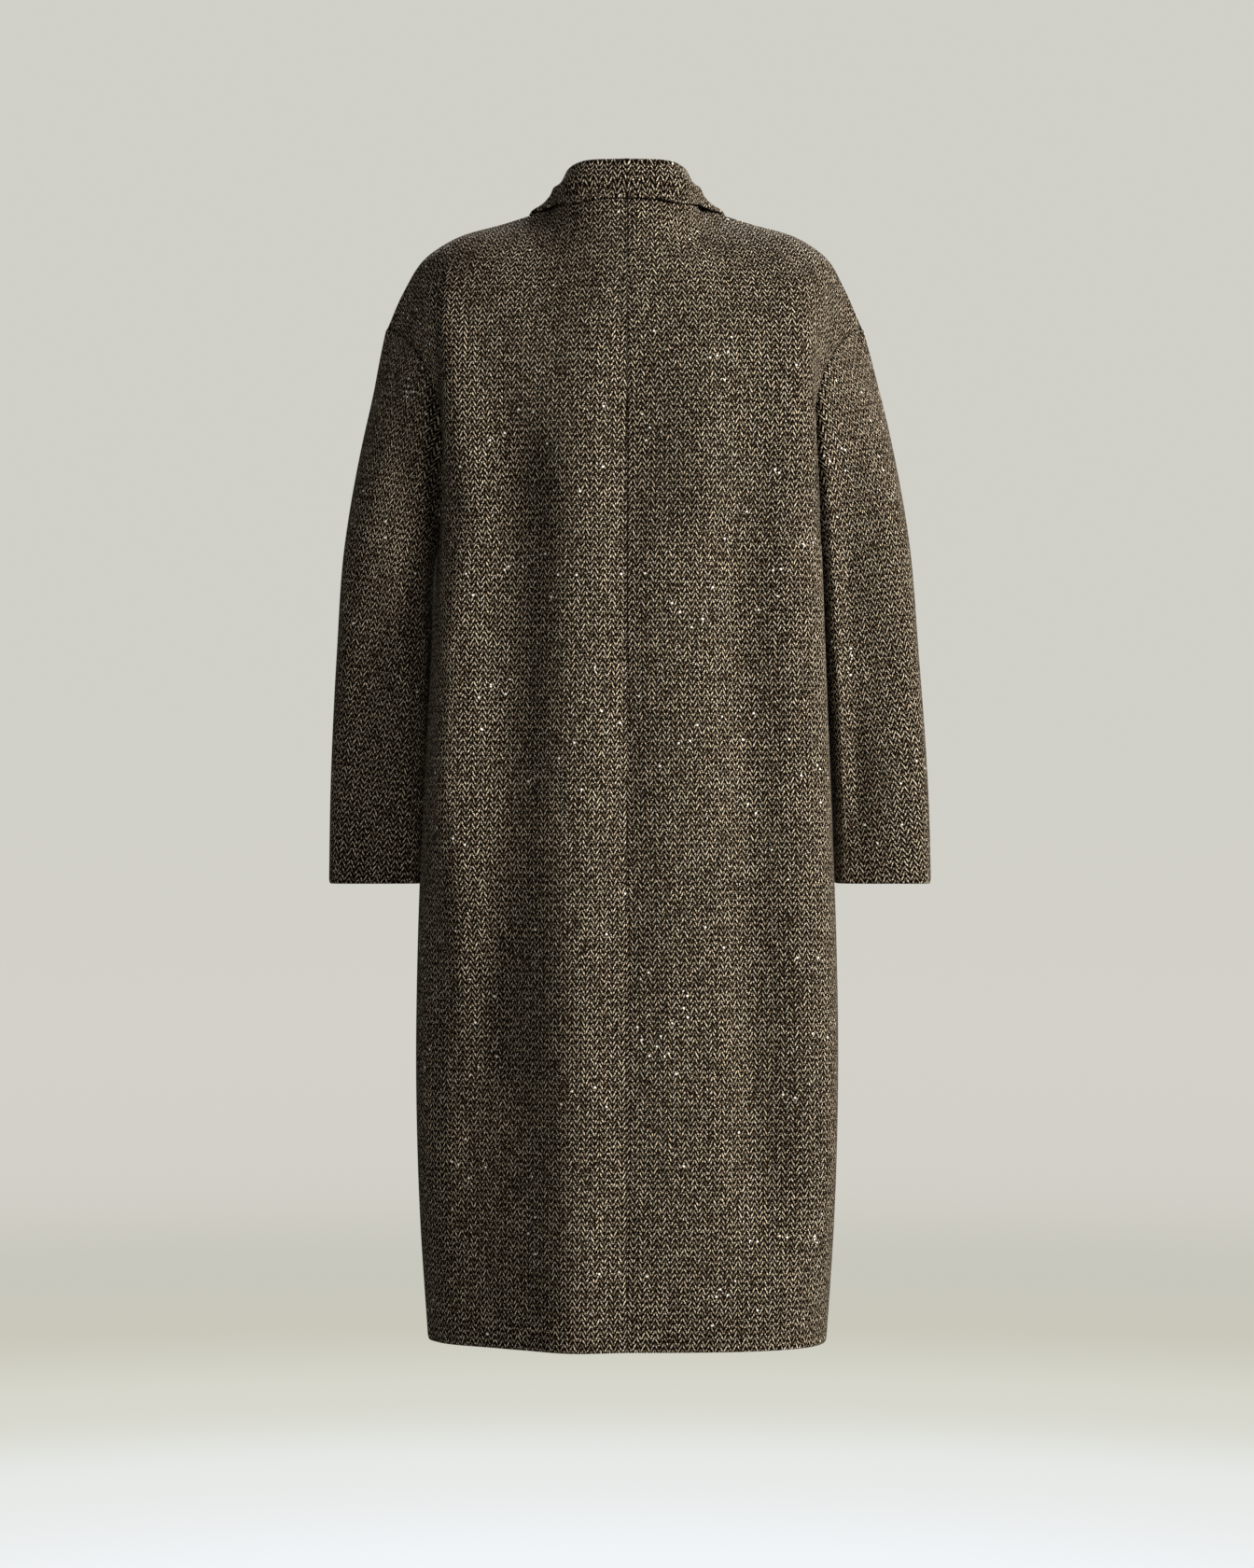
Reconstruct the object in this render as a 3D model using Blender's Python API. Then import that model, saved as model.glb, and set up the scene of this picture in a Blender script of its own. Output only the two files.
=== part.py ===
"""A long double-breasted coat of herringbone wool, worn and hollow, with no wearer.

Metres, +Z up. The front faces -Y and the wearer's left is +X. The origin is inside the neck, level with
the nape, where the centre-back seam meets the collar. Each piece is a wall of cloth: an outer surface
through horizontal sections of the body or sleeve, and an inner one a cloth's thickness behind it.
"""

import math

import bpy
import numpy as np

LEFT = 1
RIGHT = -1


def table(names, *rows):
    return dict(zip(names.split(), np.array(rows, float).T))


# Cloth
WALL = 0.0025
COLLAR_WALL = 0.0034
SEAM_GAP = 0.0003

# Heights, and the roundness of the sections, where 2 is an ellipse and more is squarer
HEM_Z = -1.155
UNDERARM_Z = -0.355
CUFF_Z = -0.694
BACK_ROUND = 3.0
FRONT_ROUND = 2.15
SLEEVE_ROUND = 3.4

# Horizontal sections of the body, widest at the side seams, which lie a little to the back
SIDE_Y = 0.020
BODY = table(
    "z half_width back front",
    (-1.155, 0.2020, 0.141, 0.140),
    (-1.031, 0.2100, 0.143, 0.142),
    (-0.900, 0.2138, 0.143, 0.143),
    (-0.745, 0.2120, 0.141, 0.142),
    (-0.600, 0.2060, 0.137, 0.139),
    (-0.460, 0.1985, 0.131, 0.134),
    (-0.355, 0.1930, 0.125, 0.129),
)

# Half the back neck, as a quarter oval from the nape to the side of the neck
NECK_WIDTH = 0.074
NECK_BACK = 0.066
NECK_FRONT = 0.062
NECK_DROP = 0.080
NECK_Y = -0.004
NECK_Z = -0.003

# Shoulder seam, from the side of the neck to the top of the armhole
SHOULDER = table(
    "along x y z",
    (0.00, 0.0740, -0.004, -0.0030),
    (0.23, 0.1250, -0.006, -0.0197),
    (0.48, 0.1780, -0.008, -0.0368),
    (0.63, 0.2050, -0.009, -0.0560),
    (0.80, 0.2235, -0.010, -0.0870),
    (1.00, 0.2410, -0.010, -0.1260),
)
NECK_SHARE = 0.33
NECK_SHARE_FRONT = 0.36

# How far and how high the corner of the neck is worked out of the back
NECK_EASE = 0.28
NECK_FADE = 0.16

# How the cloth leaves the underarm section and arrives at the shoulder, from the centre to the armhole
BACK_YOKE = table(
    "across leave_x leave_y leave_z arrive_x arrive_y arrive_z",
    (0.00, 0.00, 0.03, 0.42, 0.00, -0.16, 0.30),
    (0.33, 0.00, 0.05, 0.46, 0.00, -0.26, 0.20),
    (0.66, -0.01, 0.07, 0.46, 0.04, -0.38, 0.06),
    (0.85, -0.05, 0.13, 0.42, 0.11, -0.36, 0.06),
    (1.00, -0.05, 0.20, 0.32, 0.16, -0.27, 0.08),
)
FRONT_YOKE = table(
    "across leave_x leave_y leave_z arrive_x arrive_y arrive_z",
    (0.00, 0.00, 0.03, 0.27, 0.00, -0.13, 0.18),
    (0.36, 0.00, 0.05, 0.42, 0.00, -0.24, 0.20),
    (0.66, -0.01, 0.07, 0.46, 0.04, -0.38, 0.06),
    (0.85, -0.05, 0.13, 0.42, 0.11, -0.36, 0.06),
    (1.00, -0.05, 0.26, 0.32, 0.16, -0.27, 0.08),
)

# Fronts: how far each passes the middle, where the lapels turn back, and how deep the under one lies
OVERLAP = 0.090
BREAK_Z = -0.420
UNDER_DEPTH = 0.0095
UNDER_RAMP = 0.050
UNDER_MARGIN = 0.006

# Sections of the sleeve: its outer and inner edge from behind, its middle and half its depth.
# The right cuff hangs a little farther out.
RIGHT_SWING = 0.006
SLEEVE = table(
    "z outer inner middle_y half_depth",
    (-0.694, 0.3057, 0.2070, -0.036, 0.054),
    (-0.600, 0.3035, 0.2050, -0.028, 0.060),
    (-0.460, 0.2962, 0.1990, -0.015, 0.066),
    (-0.355, 0.2885, 0.1950, -0.008, 0.074),
    (-0.270, 0.2750, 0.1900, -0.004, 0.074),
    (-0.174, 0.2538, 0.1720, -0.006, 0.066),
    (-0.126, 0.2410, 0.1640, -0.008, 0.056),
)

# Long folds of the back and front: place from the centre at both ends, and a ridge's or trough's size
BACK_FOLDS = table(
    "top_s bottom_s height half_width top_z bottom_z",
    (0.046, 0.052, 0.011, 0.058, -0.020, -1.360),
    (0.180, 0.095, -0.009, 0.055, -0.050, -0.360),
    (0.112, 0.135, -0.012, 0.055, -0.220, -0.950),
    (0.162, 0.165, -0.026, 0.120, -0.620, -1.560),
    (0.168, 0.180, 0.007, 0.045, -0.080, -0.900),
    (0.000, 0.000, -0.003, 0.030, -0.100, -0.900),
    (-0.042, -0.045, 0.004, 0.045, -0.160, -1.150),
    (-0.080, -0.088, 0.010, 0.070, -0.020, -0.360),
    (-0.112, -0.134, -0.014, 0.048, -0.120, -1.120),
    (-0.188, -0.204, 0.010, 0.055, -0.080, -1.150),
)
FRONT_FOLDS = table(
    "top_s bottom_s height half_width top_z bottom_z",
    (0.150, 0.155, 0.007, 0.060, -0.420, -1.300),
    (0.205, 0.215, -0.006, 0.050, -0.380, -1.100),
    (-0.160, -0.150, 0.006, 0.060, -0.460, -1.300),
    (-0.215, -0.220, -0.006, 0.050, -0.380, -1.050),
)

# How near the side seams and the shoulder seams the folds die out
SIDE_FADE = 0.12
SHOULDER_FADE = 0.25

# Collar, from the nape to its front end: the top of its roll and the edge of its fall
COLLAR = table(
    "around roll_x roll_y roll_z edge_x edge_y edge_z bow sag",
    (0.00, 0.0000, 0.0650, 0.0345, 0.0000, 0.0740, 0.0000, 0.003, 0.000),
    (0.28, 0.0450, 0.0470, 0.0340, 0.0625, 0.0610, -0.0015, 0.001, 0.000),
    (0.56, 0.0605, -0.0040, 0.0240, 0.0960, -0.0030, -0.0065, -0.002, 0.000),
    (0.68, 0.0600, -0.0170, 0.0110, 0.1060, -0.0280, -0.0190, -0.002, 0.000),
    (0.80, 0.0570, -0.0300, -0.0040, 0.1170, -0.0410, -0.0320, -0.002, 0.000),
    (1.00, 0.0480, -0.0540, -0.0540, 0.1220, -0.0500, -0.0500, 0.000, -0.008),
)
COLLAR_SIDE = 0.56
ROLL_RADIUS = 0.0030
COLLAR_GAP = 0.0009
STAND_LIFT = 0.0016

# Lapel, seen from the front on the wearer's left: its roll line, and its outer edge up to the point
LAPEL = table(
    "along roll_x roll_z outer_x outer_z",
    (0.00, -0.0890, -0.4180, -0.0830, -0.4140),
    (0.35, -0.0400, -0.2930, 0.0060, -0.2900),
    (0.70, 0.0090, -0.1680, 0.0900, -0.1700),
    (1.00, 0.0505, -0.0630, 0.1480, -0.0800),
)
LAPEL_LIFT = 0.0029
ROLL_LIFT = {LEFT: 0.0019, RIGHT: 0.0008}

# Buttons: two columns of three on the over front, each a disc with a rounded rim and a dished face
BUTTON_X = 0.062
BUTTON_Z = (-0.445, -0.575, -0.705)
BUTTON_RADIUS = 0.0145
BUTTON_THICK = 0.0040
BUTTON_STAND = 0.0004
BUTTON_TURNS = 24
BUTTON = table(
    "radius height",
    (0.80, 0.00),
    (1.00, 0.35),
    (0.97, 0.80),
    (0.86, 1.00),
    (0.70, 0.80),
)

# Sections and columns of each wall
BODY_ROWS = 14
YOKE_ROWS = 12
BACK_COLUMNS = 18
FRONT_COLUMNS = 16
EDGE_CROWDING = 1.25
SLEEVE_ROWS = 16
COLLAR_COLUMNS = 16
LAPEL_ROWS = 13
LAPEL_COLUMNS = 6


def ease(t):
    t = np.clip(t, 0.0, 1.0)
    return t * t * (3.0 - 2.0 * t)


def through(knots, values, at):
    """A smooth curve through one column of a table."""
    slopes = np.gradient(values, knots)
    at = np.clip(at, knots[0], knots[-1])
    i = np.clip(np.searchsorted(knots, at) - 1, 0, len(knots) - 2)
    span = knots[i + 1] - knots[i]
    t = (at - knots[i]) / span
    start = (1.0 + 2.0 * t) * (1.0 - t) ** 2 * values[i] + t * (1.0 - t) ** 2 * span * slopes[i]
    end = t * t * (3.0 - 2.0 * t) * values[i + 1] + t * t * (t - 1.0) * span * slopes[i + 1]
    return start + end


def columns(rows, knot, names, at):
    return np.stack([through(rows[knot], rows[name], at) for name in names.split()], axis=-1)


def unit(v):
    return v / np.maximum(np.linalg.norm(v, axis=-1, keepdims=True), 1e-12)


def lengths(points):
    steps = np.linalg.norm(np.diff(points, axis=0), axis=1)
    return np.concatenate([[0.0], np.cumsum(steps)])


def at_shares(points, shares):
    """Points of a polyline at shares of its length."""
    run = lengths(points)
    return np.stack([np.interp(shares * run[-1], run, points[:, k]) for k in range(3)], axis=-1)


def oval(angle, half_width, half_depth, power):
    c, s = np.cos(angle), np.sin(angle)
    x = half_width * np.sign(c) * np.abs(c) ** (2.0 / power)
    y = half_depth * np.sign(s) * np.abs(s) ** (2.0 / power)
    return x, y


def body_half(z, face):
    """Half a section of the body, from the left side seam over the back or front to the right one."""
    width = through(BODY["z"], BODY["half_width"], z)
    depth = through(BODY["z"], BODY[face], z) + (SIDE_Y if face == "front" else -SIDE_Y)
    power = BACK_ROUND if face == "back" else FRONT_ROUND
    x, y = oval(np.linspace(0.0, math.pi, 721), width, depth, power)
    return np.stack([x, SIDE_Y + (y if face == "back" else -y), np.full(x.shape, z)], axis=-1)


def chest_row(level, place):
    """Points of the whole front at a level, from the wearer's right armhole (-1) to the left one (1)."""
    if level <= 0.0:
        half = body_half(UNDERARM_Z + (UNDERARM_Z - HEM_Z) * level, "front")
        return at_shares(half, 0.5 - 0.5 * place)
    across = np.abs(place)
    turn = 0.5 * math.pi * np.clip(across / NECK_SHARE_FRONT, 0.0, 1.0)
    hollow = np.cos(turn)
    x = NECK_WIDTH * np.sin(turn)
    neck = np.stack([x, NECK_Y - NECK_FRONT * hollow, NECK_Z - NECK_DROP * hollow], axis=-1)
    share = np.clip((across - NECK_SHARE_FRONT) / (1.0 - NECK_SHARE_FRONT), 0.0, 1.0)
    seam = columns(SHOULDER, "along", "x y z", share)
    end = np.where((across < NECK_SHARE_FRONT)[:, None], neck, seam)
    mirror = np.stack([np.sign(place), np.ones(len(place)), np.ones(len(place))], axis=-1)
    start = chest_row(0.0, place)
    return rise(level, start, end * mirror, FRONT_YOKE, across, mirror * (1.0, -1.0, 1.0))


def front_edge(side, z):
    """The x of a front's free edge: straight below, and the line its lapel turns back on above."""
    up = np.clip((z - BREAK_Z) / (NECK_Z - BREAK_Z), 0.0, 1.0)
    return side * (up * (NECK_WIDTH + OVERLAP) - OVERLAP)


def rise(level, start, end, yoke, across, flip):
    """The cloth between the underarm section and the shoulder."""
    leave = columns(yoke, "across", "leave_x leave_y leave_z", across) * flip
    arrive = columns(yoke, "across", "arrive_x arrive_y arrive_z", across) * flip
    t = level
    low = (1.0 + 2.0 * t) * (1.0 - t) ** 2 * start + t * (1.0 - t) ** 2 * leave
    return low + t * t * (3.0 - 2.0 * t) * end + t * t * (t - 1.0) * arrive


def neck_curve(share):
    """The back neck seam, from the nape to the side of the neck."""
    x, y = oval(0.5 * math.pi * (1.0 - np.linspace(0.0, 1.0, 181)), NECK_WIDTH, NECK_BACK, 2.2)
    curve = np.stack([x, y + NECK_Y, NECK_Z * ease(x / NECK_WIDTH)], axis=-1)
    return at_shares(curve, share)


def softened(row, level, place):
    """A row with the corner of the neck worked out of it, as wool does below the collar."""
    reach = NECK_EASE * ease((1.0 - level) / NECK_FADE) * np.clip((1.0 - np.abs(place)) / 0.35, 0.0, 1.0)
    steps = np.linspace(-1.0, 1.0, 11)[1:-1]
    weights = (1.0 - np.abs(steps)) / (1.0 - np.abs(steps)).sum()
    near = row(level, (place + np.outer(steps, reach)).ravel())
    return np.tensordot(weights, near.reshape(len(steps), len(place), 3), axes=1)


def low_back(level, across):
    half = body_half(UNDERARM_Z + (UNDERARM_Z - HEM_Z) * level, "back")
    return at_shares(half, 0.5 - 0.5 * across)


def mirrored(points, place):
    """Points with x turned over where the place is to the wearer's right of the centre."""
    return points * np.stack([np.sign(place), np.ones(len(place)), np.ones(len(place))], axis=-1)


def high_back(level, place):
    across = np.abs(place)
    share = np.clip((across - NECK_SHARE) / (1.0 - NECK_SHARE), 0.0, 1.0)
    seam = columns(SHOULDER, "along", "x y z", share)
    neck = neck_curve(np.clip(across / NECK_SHARE, 0.0, 1.0))
    end = np.where((across < NECK_SHARE)[:, None], neck, seam)
    return mirrored(rise(level, low_back(0.0, across), end, BACK_YOKE, across, 1.0), place)


def back_row(side, level, across):
    """Points of half the back at a level, from the centre seam (0) to the side seam or armhole (1)."""
    points = low_back(level, across) if level <= 0.0 else softened(high_back, level, across)
    return points * (side, 1.0, 1.0)


def front_start(level):
    """Where the roll line or free edge of the left front crosses a level."""
    place = np.linspace(-1.0, 1.0, 241)
    whole = chest_row(level, place)
    return np.interp(0.0, whole[:, 0] - front_edge(LEFT, whole[:, 2]), place)


def front_row(side, level, across):
    """Points of one front at a level, from its free edge (0) to its side seam or armhole (1)."""
    start = front_start(level)
    return chest_row(level, side * (start + (1.0 - start) * across))


def outward(points, side, face):
    """Level directions out of a row of points."""
    run = np.gradient(points, axis=0)
    out = np.stack([-run[:, 1], run[:, 0], np.zeros(len(run))], axis=-1)
    return unit(out) * (side if face == "back" else -side)


def folds(rows, s, z):
    """How far the long folds stand out at a place across the cloth and a height."""
    total = np.zeros(s.shape)
    for top_s, bottom_s, height, half_width, top_z, bottom_z in zip(*rows.values()):
        down = np.clip((top_z - z) / (top_z - bottom_z), 0.0, 1.0)
        place = top_s + (bottom_s - top_s) * down
        ridge = 0.5 + 0.5 * np.cos(math.pi * np.clip((s - place) / half_width, -1.0, 1.0))
        total += height * ridge * ease(down / 0.22) * ease((1.0 - down) / 0.18)
    return total


def panel_row(side, face, level, across):
    """A panel's outer points at a level: -1 is the hem, 0 the underarm and 1 the shoulder."""
    points = back_row(side, level, across) if face == "back" else front_row(side, level, across)
    out = outward(points, side, face)
    s = lengths(points)
    if face == "front":
        s = s - np.interp(0.0, side * points[:, 0], s)
    fade = ease((1.0 - across) / SIDE_FADE) * ease((1.0 - level) / SHOULDER_FADE)
    rows = BACK_FOLDS if face == "back" else FRONT_FOLDS
    amount = folds(rows, side * s, points[:, 2]) * fade
    if face == "front" and side == LEFT:
        beyond = points[:, 0] - front_edge(RIGHT, points[:, 2])
        amount = amount * ease(beyond / UNDER_RAMP)
        amount = amount - UNDER_DEPTH * (1.0 - ease((beyond - UNDER_MARGIN) / UNDER_RAMP))
    points = points + out * amount[:, None]
    if face == "back":
        points[0, 0] = 0.0
    return points


def panel_columns(face):
    """Places across a panel, closer together towards a front's free edge."""
    if face == "back":
        return np.linspace(0.0, 1.0, BACK_COLUMNS + 1)
    return np.linspace(0.0, 1.0, FRONT_COLUMNS + 1) ** EDGE_CROWDING


def panel_levels():
    start = (BREAK_Z - UNDERARM_Z) / (UNDERARM_Z - HEM_Z)
    return np.concatenate([np.linspace(-1.0, start, BODY_ROWS), yoke_levels()])


def grid_normals(grid, closed=False):
    if closed:
        wrapped = np.concatenate([grid[:, -1:], grid, grid[:, :1]], axis=1)
        across = (wrapped[:, 2:] - wrapped[:, :-2]) * 0.5
    else:
        across = np.gradient(grid, axis=1)
    return unit(np.cross(across, np.gradient(grid, axis=0)))


def panel(side, face):
    """A panel's outer points and the directions its thickness is measured along."""
    across = panel_columns(face)
    grid = np.stack([panel_row(side, face, level, across) for level in panel_levels()])
    normals = grid_normals(grid) * (-side if face == "back" else side)
    normals[: BODY_ROWS + 1, -1] = (side, 0.0, 0.0)
    if face == "back":
        normals[:, 0, 0] = 0.0
        normals[:, 0] = unit(normals[:, 0])
    seam = side * grid[-1, :, 0] >= NECK_WIDTH - 0.0001
    run = np.gradient(grid[-1], axis=0) * side
    normals[-1, seam] = unit(np.stack([-run[:, 2], 0.0 * run[:, 0], run[:, 0]], axis=-1))[seam]
    return grid, normals


def armhole(side):
    """The armhole seam, from the underarm up the back, over the shoulder and down the front."""
    across = np.linspace(0.0, 1.0, 101)
    back = np.stack([panel_row(side, "back", level, across)[-1] for level in yoke_levels()])
    front = np.stack([panel_row(side, "front", level, across)[-1] for level in yoke_levels()])
    return np.concatenate([back, front[-2:0:-1]])


def yoke_levels():
    return np.linspace(0.0, 1.0, YOKE_ROWS + 1)


def sleeve_section(z):
    outer = through(SLEEVE["z"], SLEEVE["outer"], z)
    inner = through(SLEEVE["z"], SLEEVE["inner"], z)
    middle = through(SLEEVE["z"], SLEEVE["middle_y"], z)
    half_depth = through(SLEEVE["z"], SLEEVE["half_depth"], z)
    return 0.5 * (outer + inner), middle, 0.5 * (outer - inner), half_depth


def sleeve_points(angle, z):
    mid_x, mid_y, half_x, half_y = sleeve_section(z)
    x, y = oval(angle, half_x, half_y, SLEEVE_ROUND)
    return np.stack([mid_x + x, mid_y + y, z], axis=-1)


def sleeve(side):
    """The sleeve's outer points, from the armhole to the cuff and all the way round."""
    seam = armhole(side) * (side, 1.0, 1.0)
    mid_x, mid_y, half_x, half_y = sleeve_section(seam[:, 2])
    start = np.unwrap(np.arctan2((seam[:, 1] - mid_y) / half_y, (seam[:, 0] - mid_x) / half_x))
    around = len(seam)
    even = math.pi - 2.0 * math.pi * np.arange(around) / around
    start = start + np.round((even[YOKE_ROWS] - start[YOKE_ROWS]) / (2.0 * math.pi)) * 2.0 * math.pi
    miss = seam - sleeve_points(start, seam[:, 2])
    fade = 0.14 + 0.36 * ease((seam[:, 2] - UNDERARM_Z) / 0.15)
    grid = []
    for down in np.linspace(0.0, 1.0, SLEEVE_ROWS + 1):
        angle = start + (even - start) * ease(down / 0.6)
        z = seam[:, 2] + (CUFF_Z - seam[:, 2]) * down
        grid.append(sleeve_points(angle, z) + miss * (np.clip(1.0 - down / fade, 0.0, 1.0) ** 2)[:, None])
    grid = np.stack(grid)
    if side == RIGHT:
        grid[..., 0] += RIGHT_SWING * ease((UNDERARM_Z - grid[..., 2]) / (UNDERARM_Z - CUFF_Z))
    grid = grid * (side, 1.0, 1.0)
    return grid, grid_normals(grid, closed=True) * side


def pull_in(grid, normals, closed=False):
    """Draws a panel's edges back by half the gap at a seam, square to the seam."""
    out = grid.copy()
    edges = [(np.s_[0, :], np.s_[1, :]), (np.s_[-1, :], np.s_[-2, :])]
    if not closed:
        edges += [(np.s_[:, 0], np.s_[:, 1]), (np.s_[:, -1], np.s_[:, -2])]
    for edge, beside in edges:
        square = unit(np.cross(normals[edge], np.gradient(grid[edge], axis=0)))
        toward = np.sign((square * (grid[beside] - grid[edge])).sum(axis=-1, keepdims=True))
        out[edge] += square * toward * (SEAM_GAP if closed else SEAM_GAP * 0.5)
    return out


def share_normals(row, ring, j):
    """Gives a panel's edge and the sleeve one direction where the seam is smooth, but not at a crease."""
    if np.dot(row[-1], ring[j]) > 0.3:
        row[-1] = ring[j] = unit(row[-1] + ring[j])


def cloth_material():
    material = bpy.data.materials.new("herringbone_wool")
    material.use_nodes = True
    shader = material.node_tree.nodes["Principled BSDF"]
    shader.inputs["Base Color"].default_value = (0.085, 0.066, 0.047, 1.0)
    shader.inputs["Roughness"].default_value = 0.9
    return material


def button_material():
    material = bpy.data.materials.new("dark_horn")
    material.use_nodes = True
    shader = material.node_tree.nodes["Principled BSDF"]
    shader.inputs["Base Color"].default_value = (0.03, 0.02, 0.014, 1.0)
    shader.inputs["Roughness"].default_value = 0.35
    return material


def add_mesh(name, points, faces, material):
    mesh = bpy.data.meshes.new(name)
    mesh.from_pydata([tuple(p) for p in points], [], faces)
    mesh.validate()
    mesh.update()
    mesh.materials.append(material)
    mesh.shade_smooth()
    piece = bpy.data.objects.new(name, mesh)
    bpy.context.scene.collection.objects.link(piece)
    return piece


def wall(name, outer, inner, material, closed=False):
    """One closed body between two grids of points, the outer one seen from outside."""
    rows, cols = outer.shape[:2]
    count = rows * cols
    points = np.concatenate([outer.reshape(-1, 3), inner.reshape(-1, 3)])
    faces = []
    last = cols if closed else cols - 1
    for r in range(rows - 1):
        for c in range(last):
            d = (c + 1) % cols
            a, b, e, f = r * cols + c, r * cols + d, (r + 1) * cols + d, (r + 1) * cols + c
            faces.append((a, b, e, f))
            faces.append((count + a, count + f, count + e, count + b))
    for c in range(last):
        d = (c + 1) % cols
        top = (rows - 1) * cols
        faces.append((d, c, count + c, count + d))
        faces.append((top + c, top + d, count + top + d, count + top + c))
    if not closed:
        for r in range(rows - 1):
            a, b = r * cols, (r + 1) * cols
            faces.append((a, b, count + b, count + a))
            a, b = a + cols - 1, b + cols - 1
            faces.append((b, a, count + a, count + b))
    ring = np.cross(outer[0, 1] - outer[0, 0], outer[1, 0] - outer[0, 0])
    if np.dot(ring, outer[0, 0] - inner[0, 0]) < 0.0:
        faces = [face[:1] + face[:0:-1] for face in faces]
    return add_mesh(name, points, faces, material)


def clear_scene():
    for piece in list(bpy.data.objects):
        bpy.data.objects.remove(piece)


def lay_on(points, grids, clear):
    """Moves points out until they are a clearance above the nearest points of the panels below them."""
    spots = np.concatenate([g.reshape(-1, 3) for g, n in grids])
    ups = np.concatenate([n.reshape(-1, 3) for g, n in grids])
    flat = points.reshape(-1, 3).copy()
    for k, p in enumerate(flat):
        near = np.argmin(((spots - p) ** 2).sum(axis=1))
        height = np.dot(p - spots[near], ups[near])
        if height < clear:
            flat[k] = p + ups[near] * (clear - height)
    return flat.reshape(points.shape)


def fine_panel(side, face):
    """A panel's points closely spaced near the neck and chest, for pieces that lie on it."""
    across = np.linspace(0.0, 1.0, 81)
    grid = np.stack([panel_row(side, face, level, across) for level in np.linspace(-0.12, 0.995, 120)])
    return grid, grid_normals(grid) * (-side if face == "back" else side)


def collar_base(around):
    """The neck seam from the nape to the collar's front end, on the wearer's left."""
    back = neck_curve(np.clip(around / COLLAR_SIDE, 0.0, 1.0))
    down = np.clip((around - COLLAR_SIDE) / (1.0 - COLLAR_SIDE), 0.0, 1.0)
    front = chest_row(1.0, NECK_SHARE_FRONT + (front_start(1.0) - NECK_SHARE_FRONT) * down)
    return np.where((around <= COLLAR_SIDE)[:, None], back, front)


def collar():
    """The collar's middle surface: up the stand, over the roll and down the fall, round the neck."""
    half = np.linspace(0.0, 1.0, COLLAR_COLUMNS + 1)
    base = collar_base(half) + (0.0, 0.0, COLLAR_GAP)
    roll = columns(COLLAR, "around", "roll_x roll_y roll_z", half)
    edge = columns(COLLAR, "around", "edge_x edge_y edge_z", half)
    out = unit((edge - roll) * (1.0, 1.0, 0.0))
    up = np.array([0.0, 0.0, 1.0])
    bend = columns(COLLAR, "around", "bow sag", half)
    bend = out * bend[:, :1] + up * bend[:, 1:]
    middle = roll - up * ROLL_RADIUS
    turn = np.radians((180.0, 135.0, 90.0, 50.0, 15.0))
    arc = [middle + ROLL_RADIUS * (math.cos(a) * out + math.sin(a) * up) for a in turn]
    base = base + unit(arc[0] - base) * STAND_LIFT * ease((half - 0.45) / 0.2)[:, None]
    stand = [base + (arc[0] - base) * t for t in (0.0, 0.35, 0.7)]
    fall = [arc[-1] + (edge - arc[-1]) * t + bend * math.sin(math.pi * t) for t in (0.25, 0.5, 0.75, 1.0)]
    left = np.stack(stand + arc + fall, axis=0)
    right = left[:, :0:-1] * (-1.0, 1.0, 1.0)
    return np.concatenate([right, left], axis=1)


def lapel(side, below):
    """The turned-back part of a front: points of the front beside its roll line, moved out."""
    along = np.linspace(0.0, 1.0, LAPEL_ROWS + 1)
    roll = columns(LAPEL, "along", "roll_x roll_z", along)
    outer = columns(LAPEL, "along", "outer_x outer_z", along)
    grid = []
    for t in np.linspace(0.0, 1.0, LAPEL_COLUMNS + 1):
        grid.append(on_panel((roll + (outer - roll) * t) * (side, 1.0), below))
    grid = np.stack(grid, axis=1)
    return grid, grid_normals(grid) * side


def on_panel(spots, below):
    """Points of a front at places seen from the front."""
    grid, normals = (part.reshape(-1, 3) for part in below)
    near = np.argmin(((grid[None, :, ::2] - spots[:, None, :]) ** 2).sum(axis=2), axis=1)
    point, up = grid[near], normals[near]
    away = spots - point[:, ::2]
    y = point[:, 1] - (up[:, 0] * away[:, 0] + up[:, 2] * away[:, 1]) / up[:, 1]
    return np.stack([spots[:, 0], y, spots[:, 1]], axis=-1)


def front_spot(x, z):
    """A point of the over front below the underarm."""
    level = (z - UNDERARM_Z) / (UNDERARM_Z - HEM_Z)
    row = panel_row(RIGHT, "front", level, panel_columns("front"))[::-1]
    return np.array([x, np.interp(x, row[:, 0], row[:, 1]), z])


def round_button(name, x, z, material):
    """A button standing on the over front, its rings of points turned about a line square to the cloth."""
    spot = front_spot(x, z)
    across = front_spot(x + BUTTON_RADIUS, z) - front_spot(x - BUTTON_RADIUS, z)
    upward = front_spot(x, z + BUTTON_RADIUS) - front_spot(x, z - BUTTON_RADIUS)
    face = unit(np.cross(across, upward))
    side = unit(across)
    up = np.cross(face, side)
    angle = 2.0 * math.pi * np.arange(BUTTON_TURNS) / BUTTON_TURNS
    ring = (np.cos(angle)[:, None] * side + np.sin(angle)[:, None] * up) * BUTTON_RADIUS
    points = []
    for radius, height in zip(BUTTON["radius"], BUTTON["height"]):
        points.append(spot + ring * radius + face * (BUTTON_STAND + height * BUTTON_THICK))
    faces = []
    rings = len(points)
    for r in range(rings - 1):
        low, high = r * BUTTON_TURNS, (r + 1) * BUTTON_TURNS
        for k in range(BUTTON_TURNS):
            n = (k + 1) % BUTTON_TURNS
            faces.append((low + k, low + n, high + n, high + k))
    top = (rings - 1) * BUTTON_TURNS
    faces.append(tuple(range(BUTTON_TURNS))[::-1])
    faces.append(tuple(range(top, top + BUTTON_TURNS)))
    return add_mesh(name, np.concatenate(points), faces, material)


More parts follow.
